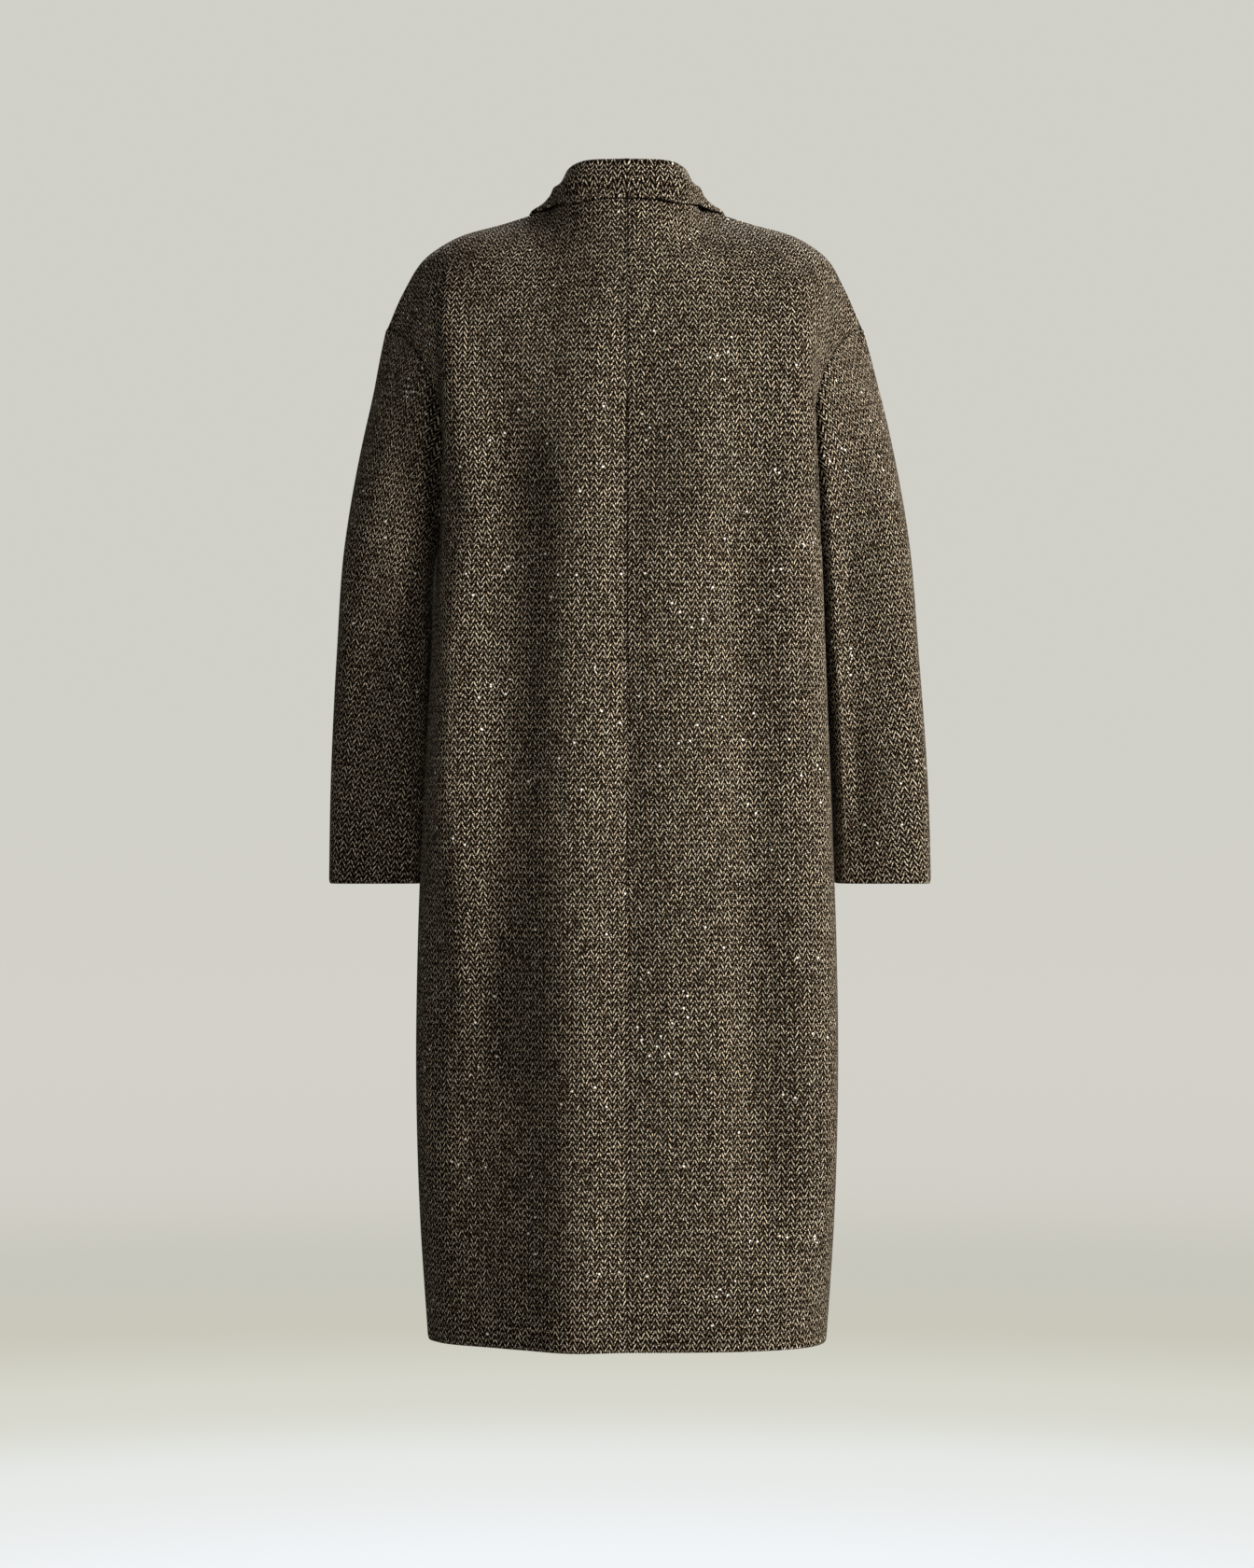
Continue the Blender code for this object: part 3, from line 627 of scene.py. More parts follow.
def sleeve_grid(side, yoke_levels, downs):
    """The sleeve's outer points, from the armhole to the cuff and all the way round."""
    top = len(yoke_levels) - 1
    seam = armhole(side, yoke_levels) * (side, 1.0, 1.0)
    mid_x, mid_y, half_x, half_y = sleeve_section(seam[:, 2])
    start = np.unwrap(np.arctan2((seam[:, 1] - mid_y) / half_y, (seam[:, 0] - mid_x) / half_x))
    even = math.pi - 2.0 * math.pi * np.arange(len(seam)) / len(seam)
    start = start + np.round((even[top] - start[top]) / (2.0 * math.pi)) * 2.0 * math.pi
    miss = seam - sleeve_points(start, seam[:, 2])
    high = ease((seam[:, 2] - UNDERARM_Z) / SEAM_FADE_RISE)
    fade = SEAM_FADE_LOW + (SEAM_FADE_HIGH - SEAM_FADE_LOW) * high
    grid = []
    for down in downs:
        angle = start + (even - start) * ease(down / SLIDE_SHARE)
        z = seam[:, 2] + (CUFF_Z - seam[:, 2]) * down
        held = np.clip(1.0 - down / fade, 0.0, 1.0) ** 2
        grid.append(sleeve_points(angle, z) + miss * held[:, None])
    grid = np.stack(grid)
    if side == RIGHT:
        grid[..., 0] += RIGHT_SWING * ease((UNDERARM_Z - grid[..., 2]) / (UNDERARM_Z - CUFF_Z))
    return grid * (side, 1.0, 1.0)


downs = crowded(SLEEVE_LENGTH)
yoke_levels = levels[levels >= 0.0]
print("sleeve rings", len(downs), "of", 2 * len(yoke_levels) - 2, "points")

# %% [markdown]
# ## Small creases
# Besides the long folds, the cloth creases where it is held or bent: creases and ridges run down behind
# and before each arm, the sleeves break softly in front of the elbow, and a faint drag crosses each
# front. Each row is a line seen from behind, or from the front. It has a depth, which is below nought
# for a ridge, one width towards the centre and one away from it. All of them push the cloth straight in
# or out, so two pieces that meet at a seam move together.

# %% Creases
CREASE_START = 0.30
CREASE_END = 0.35
BACK_CREASES = table(
    "x1 z1 x2 z2 depth inner outer",
    (0.189, -0.055, 0.192, -0.480, 0.026, 0.006, 0.014),
    (0.186, -0.330, 0.198, -0.740, -0.010, 0.030, 0.012),
    (-0.187, -0.065, -0.190, -0.420, 0.004, 0.008, 0.016),
    (-0.190, -0.150, -0.2195, -0.700, -0.024, 0.011, 0.022),
    (-0.224, -0.500, -0.228, -0.780, 0.011, 0.014, 0.040),
    (0.222, -0.300, 0.226, -0.720, -0.006, 0.016, 0.045),
    (0.286, -0.190, 0.294, -0.520, 0.009, 0.062, 0.030),
)
FRONT_CREASES = table(
    "x1 z1 x2 z2 depth inner outer",
    (0.190, -0.080, 0.190, -0.400, 0.018, 0.010, 0.018),
    (-0.190, -0.085, -0.190, -0.400, 0.016, 0.010, 0.018),
    (0.226, -0.392, 0.290, -0.425, 0.006, 0.012, 0.017),
    (0.222, -0.440, 0.284, -0.450, 0.004, 0.010, 0.014),
    (-0.228, -0.404, -0.292, -0.428, 0.006, 0.012, 0.016),
    (-0.222, -0.455, -0.280, -0.470, 0.005, 0.011, 0.015),
    (0.080, -0.455, 0.172, -0.528, 0.003, 0.016, 0.022),
    (-0.082, -0.452, -0.164, -0.500, 0.004, 0.015, 0.021),
)


def crease_depth(rows, x, z):
    """Depth of the creases at places seen from behind or from the front."""
    total = np.zeros(x.shape)
    for x1, z1, x2, z2, depth, inner, outer in zip(*rows.values()):
        run = np.array([x2 - x1, z2 - z1])
        along = ((x - x1) * run[0] + (z - z1) * run[1]) / (run @ run)
        off = ((z - z1) * run[0] - (x - x1) * run[1]) / math.sqrt(run @ run)
        width = np.where(off * np.sign(x1 + x2) > 0.0, outer, inner)
        trough = 0.5 + 0.5 * np.cos(math.pi * np.clip(off / width, -1.0, 1.0))
        total += depth * trough * ease(along / CREASE_START) * ease((1.0 - along) / CREASE_END)
    return total


# %% Creases and a fuller left shoulder
BACK_FROM_Y = -0.010
BACK_RAMP = 0.050
FRONT_FROM_Y = -0.030
FRONT_RAMP = 0.040
SHOULDER_FULL = 0.005
SHOULDER_Z = -0.110
SHOULDER_REACH = 0.110
SHOULDER_X = 0.150
SHOULDER_RAMP = 0.070


def creased(grid):
    """A grid of points with the small creases pressed into its back and its front."""
    x, y, z = grid[..., 0], grid[..., 1], grid[..., 2]
    behind = ease((y - BACK_FROM_Y) / BACK_RAMP)
    before = ease((FRONT_FROM_Y - y) / FRONT_RAMP)
    out = grid.copy()
    out[..., 1] += before * crease_depth(FRONT_CREASES, x, z) - behind * crease_depth(BACK_CREASES, x, z)
    full = 0.5 + 0.5 * np.cos(math.pi * np.clip((z - SHOULDER_Z) / SHOULDER_REACH, -1.0, 1.0))
    out[..., 0] += SHOULDER_FULL * full * ease((x - SHOULDER_X) / SHOULDER_RAMP)
    return out


# %% [markdown]
# ## The flat cut
# The weave has to lie on each piece as it lies on flat cloth, so each piece is laid flat first. The flat
# shape starts as the lengths along its rows and columns, and is then eased until every small distance is
# the same as on the formed piece, as a cutter would smooth paper over a form. It also gives the size that
# the piece is cut to.

# %% Laying a piece flat
EASING_STEPS = 1500
EASING = 1.6


def lay_flat(grid):
    rows, cols = grid.shape[:2]
    flat = np.zeros((rows, cols, 2))
    flat[:, 1:, 0] = np.cumsum(np.linalg.norm(np.diff(grid, axis=1), axis=2), axis=1)
    flat[1:, :, 1] = np.cumsum(np.linalg.norm(np.diff(grid, axis=0), axis=2), axis=0)
    pairs = [
        (np.s_[:, :-1], np.s_[:, 1:]),
        (np.s_[:-1, :], np.s_[1:, :]),
        (np.s_[:-1, :-1], np.s_[1:, 1:]),
        (np.s_[:-1, 1:], np.s_[1:, :-1]),
    ]
    ties = [(a, b, np.linalg.norm(grid[b] - grid[a], axis=2)) for a, b in pairs]
    count = np.zeros((rows, cols, 1))
    for a, b in pairs:
        count[a] += 1.0
        count[b] += 1.0
    for step in range(EASING_STEPS):
        move = np.zeros(flat.shape)
        for a, b, length in ties:
            gap = flat[b] - flat[a]
            now = np.maximum(np.linalg.norm(gap, axis=2), 1e-9)
            push = gap * (0.5 * (now - length) / now)[..., None]
            move[a] += push
            move[b] -= push
        flat += move / count * EASING
    return flat


def upright(flat, line):
    """Turns a flat piece until one line of its points is upright and stands at nought."""
    run = line[-1] - line[0]
    turn = math.atan2(run[0], run[1])
    c, s = math.cos(turn), math.sin(turn)
    return (flat - line[0]) @ np.array([[c, s], [-s, c]])


def spread(coarse, rows_at, cols_at, rows, cols):
    """Values of a coarse grid read between its points, at finer rows and columns."""
    layers = []
    for k in range(2):
        tall = np.stack([np.interp(rows, rows_at, line) for line in coarse[..., k].T], axis=1)
        layers.append(np.stack([np.interp(cols, cols_at, line) for line in tall]))
    return np.stack(layers, axis=-1)


def flat_size(flat):
    """Width, length and area of a flat piece."""
    a, b = flat[1:, 1:] - flat[:-1, :-1], flat[1:, :-1] - flat[:-1, 1:]
    area = 0.5 * np.abs(a[..., 0] * b[..., 1] - a[..., 1] * b[..., 0]).sum()
    size = flat.reshape(-1, 2).max(axis=0) - flat.reshape(-1, 2).min(axis=0)
    return size[0], size[1], area


# %% [markdown]
# ## A shell of cloth
# Cloth has two faces and an edge. The outer face is the fine grid, the inner one lies a cloth's thickness
# behind it, and a middle line of points rounds the edge between them. Beside a seam the outer face dips
# towards the stitching, and at a free edge it turns over.

# %% Building a shell
SEAM_DIP = 0.0014
SEAM_REACH = 0.0022
# Painted shade beside the seams: full high on the coat, falling to the share SEAM_LOW below SEAM_FADE_Z.
SEAM_LOW = 0.35
SEAM_FADE_Z = -0.75
SEAM_FADE = 0.35
EDGE_DIP = 0.0007
EDGE_BULGE = 0.30
# For each edge of a grid: the index that stays the same along it, its value there, and the step inwards.
GRID_EDGES = {
    "low": (0, 0, (1, 0)),
    "high": (0, -1, (-1, 0)),
    "first": (1, 0, (0, 1)),
    "last": (1, -1, (0, -1)),
}


def edge_distance(grid, edge):
    """How far each point is from one edge of the grid, along its row or column."""
    up_columns = edge in ("low", "high")
    step = 1 if edge in ("low", "first") else -1
    lines = (grid if up_columns else grid.swapaxes(0, 1))[::step]
    steps = np.linalg.norm(np.diff(lines, axis=0), axis=2)
    run = np.concatenate([np.zeros((1, lines.shape[1])), np.cumsum(steps, axis=0)])[::step]
    return run if up_columns else run.T


def near_edges(grid, edges):
    """1 at the named edges of a grid, falling to nought a few millimetres away."""
    near = np.zeros(grid.shape[:2])
    for edge in edges:
        near = np.maximum(near, np.exp(-((edge_distance(grid, edge) / SEAM_REACH) ** 2)))
    return near


def dipped(grid, normals, seams, free):
    """The outer face pressed in beside its seams and turned over at its free edges."""
    dip = np.maximum(SEAM_DIP * near_edges(grid, seams), EDGE_DIP * near_edges(grid, free))
    return grid - normals * dip[..., None]


def ring_edges(rows, cols, closed):
    """Border points of a grid in order, as loops of (row, column)."""
    if closed:
        return [("low", [(0, c) for c in range(cols)]), ("high", [(rows - 1, c) for c in range(cols)])]
    low = [(0, c) for c in range(cols - 1)]
    last = [(r, cols - 1) for r in range(rows - 1)]
    high = [(rows - 1, c) for c in range(cols - 1, 0, -1)]
    first = [(r, 0) for r in range(rows - 1, 0, -1)]
    return [("round", low + last + high + first)]


def sheet_faces(rows, cols, closed, uv):
    """The four-sided faces of one grid, with the places of their corners on the cloth."""
    r, c = np.meshgrid(np.arange(rows - 1), np.arange(cols if closed else cols - 1), indexing="ij")
    r, c = r.ravel(), c.ravel()
    d = (c + 1) % cols
    quads = np.stack([r * cols + c, r * cols + d, (r + 1) * cols + d, (r + 1) * cols + c], axis=-1)
    spots = np.stack([uv[r, c], uv[r, c + 1], uv[r + 1, c + 1], uv[r + 1, c]], axis=1)
    return quads, spots


def rim_points(outer, inner, at, free):
    """Points midway between the two faces along a border, pushed out where the edge is free."""
    rows, cols = outer.shape[:2]
    a, b = outer[at[:, 0], at[:, 1]], inner[at[:, 0], at[:, 1]]
    push = np.zeros(a.shape)
    for edge in free:
        axis, end, step = GRID_EDGES[edge]
        on = at[:, axis] == end % outer.shape[axis]
        inside = outer[(at[:, 0] + step[0]) % rows, (at[:, 1] + step[1]) % cols]
        push += np.where(on[:, None], unit(a - inside), 0.0)
    bulge = EDGE_BULGE * WALL * (np.linalg.norm(push, axis=1) > 0.0)
    return 0.5 * (a + b) + unit(push) * bulge[:, None]


def mark_seam_shade(piece, outer, seams):
    """Writes on each point of the outer face how near it is to a seam, weaker low on the coat, for the weave
    to darken as painted shade.
    """
    seam_shade_fade = SEAM_LOW + (1.0 - SEAM_LOW) * ease((outer[..., 2] - SEAM_FADE_Z) / SEAM_FADE)
    painted_seam_shade = np.zeros(len(piece.data.vertices), np.float32)
    painted_seam_shade[: seam_shade_fade.size] = (near_edges(outer, seams) * seam_shade_fade).reshape(-1)
    mark = piece.data.attributes.new("seam", "FLOAT", "POINT")
    mark.data.foreach_set("value", painted_seam_shade)


def shell(name, outer, inner, uv, free, seams, material, closed=False):
    """One closed shell between two grids. Its free edges bulge out as a fold does, and beside its seams
    painted shade is marked.
    """
    rows, cols = outer.shape[:2]
    count = rows * cols
    points = [outer.reshape(-1, 3), inner.reshape(-1, 3)]
    quads, spots = sheet_faces(rows, cols, closed, uv)
    faces = [quads, quads[:, ::-1] + count]
    maps = [spots, spots[:, ::-1]]
    used = 2 * count
    for label, loop in ring_edges(rows, cols, closed):
        at = np.array(loop)
        points.append(rim_points(outer, inner, at, free))
        k = np.arange(len(loop))
        m = (k + 1) % len(loop)
        index = at[:, 0] * cols + at[:, 1]
        turn = 1 if label != "high" else -1
        first = np.stack([index[m], index[k], used + k, used + m], axis=-1)[:, ::turn]
        second = np.stack([used + m, used + k, count + index[k], count + index[m]], axis=-1)[:, ::turn]
        spot = uv[at[:, 0], at[:, 1]]
        strip = np.stack([spot[m], spot[k], spot[k], spot[m]], axis=1)[:, ::turn]
        faces += [first, second]
        maps += [strip, strip]
        used += len(loop)
    faces, maps = np.concatenate(faces), np.concatenate(maps)
    ring = np.cross(outer[0, 1] - outer[0, 0], outer[1, 0] - outer[0, 0])
    if np.dot(ring, outer[0, 0] - inner[0, 0]) < 0.0:
        faces, maps = faces[:, ::-1], maps[:, ::-1]
    piece = new_piece(name, np.concatenate(points), faces, material)
    layer = piece.data.uv_layers.new(name="cloth")
    layer.data.foreach_set("uv", maps.reshape(-1).astype(np.float32))
    mark_seam_shade(piece, outer, seams)
    return piece


# %% [markdown]
# ## Herringbone tweed
# The cloth is a twill whose slope turns back every few threads, so its pale and dark yarns make upright
# columns of strokes that lean left and right in turn. Everything is measured in metres on the flat cloth.
# The place across gives the column, and the place along plus the climb of the stroke gives the yarn.
# Random values make some of it cream, some tan and some brown. Most of the change is between short
# floats, and a little between strokes and their beads. Soft noise frays the strokes, small pale neps lie
# on top, and the same strokes give the height of the surface.

# %% Weave sizes and yarn colours
COLUMN_WIDTH = 0.00455
YARN_REPEAT = 0.0063
STROKE_CLIMB = 1.42
BEADS = 2.0
FLOAT_SIZE = 0.0009
WANDER_SCALE = 110.0
WANDER_ACROSS = 0.0011
WANDER_ALONG = 0.0018
FRAY_SCALE = 900.0
FRAY = 2.4
PALE_FROM, PALE_FULL = 0.20, 0.46
TURN_WIDTH = 0.22
TURN_LOW = 0.05
BEAD_GAP = 0.30
BEAD_LOW = 0.70
BEAD_STRIDE = 17.0
STROKE_SHARE = 0.06
BEAD_SHARE = 0.12
FLOAT_SHARE = 0.82
TAN_FROM, TAN_FULL = 0.10, 0.55
CREAM_FROM, CREAM_FULL = 0.52, 0.84
DARK_YARN = (0.0008, 0.0005, 0.0003, 1.0)
BROWN_YARN = (0.026, 0.017, 0.010, 1.0)
TAN_YARN = (0.19, 0.133, 0.081, 1.0)
CREAM_YARN = (1.0, 0.865, 0.66, 1.0)
NEP_COLOUR = (1.0, 0.97, 0.90, 1.0)
NEP_SCALE = 260.0
NEP_RARE = 1.058
NEP_CORE, NEP_EDGE = 0.26, 0.34
GATHER_SCALE = 16.0
GATHER = 0.12
UNEVEN_SCALE = 9.0
UNEVEN_RANGE = (0.3, 0.7, 0.95, 1.05)
# Painted shade beside the seams: where the seam mark passes SEAM_FROM, the colour falls towards SEAM_SHADE.
SEAM_FROM = 0.30
SEAM_SHADE = 0.35
STROKE_HEIGHT = 0.7
FRAY_HEIGHT = 0.8
WEAVE_DEPTH = 0.0007
WOOL_FINISH = {
    "Specular IOR Level": 0.03,
    "Sheen Weight": 0.008,
    "Sheen Roughness": 0.5,
    "Sheen Tint": (0.85, 0.76, 0.62, 1.0),
}


class Nodes:
    """Short ways to add nodes and to join them."""

    def __init__(self, tree):
        self.tree = tree

    def put(self, socket, value):
        if isinstance(value, bpy.types.NodeSocket):
            self.tree.links.new(value, socket)
        else:
            socket.default_value = value

    def calc(self, operation, *values):
        node = self.tree.nodes.new("ShaderNodeMath")
        node.operation = operation
        for socket, value in zip(node.inputs, values):
            self.put(socket, value)
        return node.outputs[0]

    def vector(self, x, y, z=0.0):
        node = self.tree.nodes.new("ShaderNodeCombineXYZ")
        for socket, value in zip(node.inputs, (x, y, z)):
            self.put(socket, value)
        return node.outputs[0]

    def swing(self, value, reach):
        """A value round a half, turned into one round nought."""
        return self.calc("MULTIPLY", self.calc("SUBTRACT", value, 0.5), reach)

    def step_of(self, value, size):
        """The number of the step of a given size that a value is in."""
        return self.calc("FLOOR", self.calc("DIVIDE", value, size))

    def split(self, colour):
        node = self.tree.nodes.new("ShaderNodeSeparateColor")
        self.put(node.inputs[0], colour)
        return node.outputs

    def noise(self, place, scale, detail=2.0, rough=0.5):
        """Soft noise, as a value and as a colour of three values."""
        node = self.tree.nodes.new("ShaderNodeTexNoise")
        self.put(node.inputs["Vector"], place)
        node.inputs["Scale"].default_value = scale
        node.inputs["Detail"].default_value = detail
        node.inputs["Roughness"].default_value = rough
        return node.outputs[0], node.outputs["Color"]

    def chance(self, x, y):
        """A random value for each pair of whole numbers."""
        node = self.tree.nodes.new("ShaderNodeTexWhiteNoise")
        node.noise_dimensions = "2D"
        self.put(node.inputs["Vector"], self.vector(x, y))
        return node.outputs["Value"]

    def ramp(self, value, low, high, to_low=0.0, to_high=1.0):
        node = self.tree.nodes.new("ShaderNodeMapRange")
        node.interpolation_type = "SMOOTHSTEP"
        names = ("Value", "From Min", "From Max", "To Min", "To Max")
        for name, given in zip(names, (value, low, high, to_low, to_high)):
            self.put(node.inputs[name], given)
        return node.outputs["Result"]

    def mix(self, share, a, b):
        node = self.tree.nodes.new("ShaderNodeMix")
        node.data_type = "RGBA"
        self.put(node.inputs["Factor"], share)
        self.put(node.inputs["A"], a)
        self.put(node.inputs["B"], b)
        return node.outputs["Result"]

    def cells(self, place, scale):
        node = self.tree.nodes.new("ShaderNodeTexVoronoi")
        node.voronoi_dimensions = "2D"
        self.put(node.inputs["Vector"], place)
        node.inputs["Scale"].default_value = scale
        return node.outputs["Distance"], node.outputs["Color"]

    def bump(self, shader, height, strength, distance):
        node = self.tree.nodes.new("ShaderNodeBump")
        node.inputs["Strength"].default_value = strength
        node.inputs["Distance"].default_value = distance
        self.put(node.inputs["Height"], height)
        self.put(shader.inputs["Normal"], node.outputs["Normal"])


# %% Strokes, yarns and neps


def weave_strokes(n, place, across, along):
    """How pale each place is and how its fibres fray, with the numbers of its column, stroke and bead."""
    wander = n.split(n.noise(place, WANDER_SCALE, detail=4.0, rough=0.8)[1])
    u = n.calc("ADD", across, n.swing(wander[0], WANDER_ACROSS))
    v = n.calc("ADD", along, n.swing(wander[1], WANDER_ALONG))
    climb = n.calc("DIVIDE", n.calc("PINGPONG", u, COLUMN_WIDTH), COLUMN_WIDTH)
    yarn = n.calc("ADD", n.calc("DIVIDE", v, YARN_REPEAT), n.calc("MULTIPLY", climb, STROKE_CLIMB))
    fray = n.noise(place, FRAY_SCALE, detail=3.0, rough=0.6)[0]
    wave = n.calc("ADD", n.calc("COSINE", n.swing(yarn, 2.0 * math.pi)), n.swing(fray, FRAY))
    turn = n.calc("MINIMUM", climb, n.calc("SUBTRACT", 1.0, climb))
    bead = n.calc("MULTIPLY", climb, BEADS)
    gap = n.calc("ABSOLUTE", n.calc("SUBTRACT", n.calc("FRACT", bead), 0.5))
    pale = n.ramp(wave, PALE_FROM, PALE_FULL)
    pale = n.calc("MULTIPLY", pale, n.ramp(turn, 0.0, TURN_WIDTH, TURN_LOW, 1.0))
    pale = n.calc("MULTIPLY", pale, n.ramp(gap, BEAD_GAP, 0.5, 1.0, BEAD_LOW))
    return pale, fray, n.step_of(u, COLUMN_WIDTH), n.calc("FLOOR", yarn), n.calc("FLOOR", bead)


def yarn_tones(n, across, along, column, stroke, bead):
    """The colour of the pale yarn. Short floats settle most of it, the stroke and its beads a little."""
    stroke_luck = n.chance(column, stroke)
    bead_luck = n.chance(n.calc("ADD", n.calc("MULTIPLY", column, BEAD_STRIDE), bead), stroke)
    float_luck = n.chance(n.step_of(across, FLOAT_SIZE), n.step_of(along, FLOAT_SIZE))
    luck = n.calc("MULTIPLY", stroke_luck, STROKE_SHARE)
    luck = n.calc("ADD", luck, n.calc("MULTIPLY", bead_luck, BEAD_SHARE))
    luck = n.calc("ADD", luck, n.calc("MULTIPLY", float_luck, FLOAT_SHARE))
    tone = n.mix(n.ramp(luck, TAN_FROM, TAN_FULL), BROWN_YARN, TAN_YARN)
    return n.mix(n.ramp(luck, CREAM_FROM, CREAM_FULL), tone, CREAM_YARN)


def with_neps(n, place, colour):
    """A colour with small pale neps on it, which gather here and there."""
    gather = n.noise(place, GATHER_SCALE, detail=1.0)[0]
    near, cell = n.cells(place, NEP_SCALE)
    luck = n.calc("ADD", n.split(cell)[0], n.calc("MULTIPLY", gather, GATHER))
    core = n.ramp(near, NEP_CORE, NEP_EDGE, 1.0, 0.0)
    nep = n.calc("MULTIPLY", n.calc("GREATER_THAN", luck, NEP_RARE), core)
    return n.mix(nep, colour, NEP_COLOUR)


# %% Herringbone material


def herringbone_wool():
    material, tree, shader = plain_material("herringbone_wool", roughness=0.92)
    n = Nodes(tree)
    cloth = tree.nodes.new("ShaderNodeUVMap")
    cloth.uv_map = "cloth"
    place = cloth.outputs["UV"]
    parts = tree.nodes.new("ShaderNodeSeparateXYZ")
    n.put(parts.inputs[0], place)
    across, along = parts.outputs[0], parts.outputs[1]
    pale, fray, column, stroke, bead = weave_strokes(n, place, across, along)
    colour = n.mix(pale, DARK_YARN, yarn_tones(n, across, along, column, stroke, bead))
    # Painted shade: the colour is darkened beside the seams, as if the groove of the stitching lay in shade.
    seam = tree.nodes.new("ShaderNodeAttribute")
    seam.attribute_name = "seam"
    uneven = n.ramp(n.noise(place, UNEVEN_SCALE)[0], *UNEVEN_RANGE)
    painted_seam_shade = n.ramp(seam.outputs["Fac"], SEAM_FROM, 1.0, 1.0, SEAM_SHADE)
    shade = tree.nodes.new("ShaderNodeHueSaturation")
    n.put(shade.inputs["Value"], n.calc("MULTIPLY", uneven, painted_seam_shade))
    n.put(shade.inputs["Color"], with_neps(n, place, colour))
    n.put(shader.inputs["Base Color"], shade.outputs["Color"])
    height = n.calc("ADD", n.calc("MULTIPLY", pale, STROKE_HEIGHT), n.calc("MULTIPLY", fray, FRAY_HEIGHT))
    n.bump(shader, height, strength=0.5, distance=WEAVE_DEPTH)
    for name, value in WOOL_FINISH.items():
        shader.inputs[name].default_value = value
    return material


wool = herringbone_wool()
print("weave", COLUMN_WIDTH * 2000, "mm wide,", YARN_REPEAT * 1000, "mm high")

# %% [markdown]
# ## Back, fronts and sleeves
# Each panel is laid flat on a coarse grid, which is enough for the weave, and then made as a fine shell.
# Its edges are drawn back by half the width of a seam. The directions that its thickness is measured
# along are shared with the next piece at each seam, so that the walls stand side by side. A sleeve's
# weave goes round its tube, pitched a few degrees, and only its size comes from its flat cut.

# %% Seams
SIDE_ABOVE = 0.02
NECK_REACH = 0.0001


def drawn_back(grid, normals, closed=False):
    """Draws a grid's edges back by half the gap at a seam, square to the seam."""
    out = grid.copy()
    edges = [(np.s_[0, :], np.s_[1, :]), (np.s_[-1, :], np.s_[-2, :])]
    if not closed:
        edges += [(np.s_[:, 0], np.s_[:, 1]), (np.s_[:, -1], np.s_[:, -2])]
    for edge, beside in edges:
        square = unit(np.cross(normals[edge], np.gradient(grid[edge], axis=0)))
        toward = np.sign((square * (grid[beside] - grid[edge])).sum(axis=-1, keepdims=True))
        out[edge] += square * toward * SEAM_GAP * 0.5
    return out


def panel_normals(grid, side, face):
    normals = grid_normals(grid) * (-side if face == "back" else side)
    normals[grid[:, -1, 2] < UNDERARM_Z + SIDE_ABOVE, -1] = (side, 0.0, 0.0)
    if face == "back":
        normals[:, 0, 0] = 0.0
        normals[:, 0] = unit(normals[:, 0])
    seam = side * grid[-1, :, 0] >= NECK_WIDTH - NECK_REACH
    run = np.gradient(grid[-1], axis=0) * side
    normals[-1, seam] = unit(np.stack([-run[:, 2], 0.0 * run[:, 0], run[:, 0]], axis=-1))[seam]
    return normals


# %% Flat cuts and places on the cloth
COARSE_LEVELS = np.concatenate([np.linspace(-1.0, 0.0, 29)[:-1], np.linspace(0.0, 1.0, 17)])
COARSE_ACROSS = np.linspace(0.0, 1.0, 13)
COARSE_YOKE = np.linspace(0.0, 1.0, 9)
COARSE_DOWNS = np.linspace(0.0, 1.0, 25)
GRAIN_ROWS = 20
SLEEVE_SLANT = 1.012
SLEEVE_PITCH = math.radians(7.5)
CLOTH_APART = np.array([300 * 2.0 * COLUMN_WIDTH, 170 * YARN_REPEAT])
cut_sizes = {}


def other_cloth(uv):
    """Moves a piece by whole repeats of the weave, so that it is cut from another place of the same cloth."""
    return uv + CLOTH_APART * len(cut_sizes)


def panel_uv(name, side, face, across):
    flat = lay_flat(panel_grid(side, face, COARSE_LEVELS, COARSE_ACROSS))
    flat = upright(flat, flat[:GRAIN_ROWS, 0])
    cut_sizes[name] = flat_size(flat)
    return other_cloth(spread(flat, COARSE_LEVELS, COARSE_ACROSS, levels, across))


def sleeve_uv(name, side):
    coarse = sleeve_grid(side, COARSE_YOKE, COARSE_DOWNS)
    coarse = np.concatenate([coarse, coarse[:, :1]], axis=1)
    flat = lay_flat(coarse[::-1])
    flat = upright(flat, flat[:, coarse.shape[1] // 2])[::-1]
    cut_sizes[name] = flat_size(flat)
    grid = sleeve_grid(side, yoke_levels, downs) * (side, 1.0, 1.0)
    grid = np.concatenate([grid, grid[:, :1]], axis=1)
    mid_x, mid_y, half_x, half_y = sleeve_section(grid[..., 2])
    turn = np.arctan2((grid[..., 1] - mid_y) / half_y, (grid[..., 0] - mid_x) / half_x)
    turn = np.unwrap(turn, axis=1)
    middle = turn.shape[1] // 2
    turn -= 2.0 * math.pi * np.round(turn[:, middle : middle + 1] / (2.0 * math.pi))
    u, v = turn * 0.5 * (half_x + half_y), grid[..., 2] * SLEEVE_SLANT
    c, s = math.cos(SLEEVE_PITCH), math.sin(SLEEVE_PITCH)
    return other_cloth(np.stack([u * c - v * s, u * s + v * c], axis=-1))


# %% Cloth pieces


def cloth_piece(name, outer, inner, uv, free, seams, closed=False):
    """A shell of the wool that stands for one solid."""
    piece = shell(name + "_cloth", outer, inner, uv, free, seams, wool, closed)
    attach(piece, "root")
    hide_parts(name)


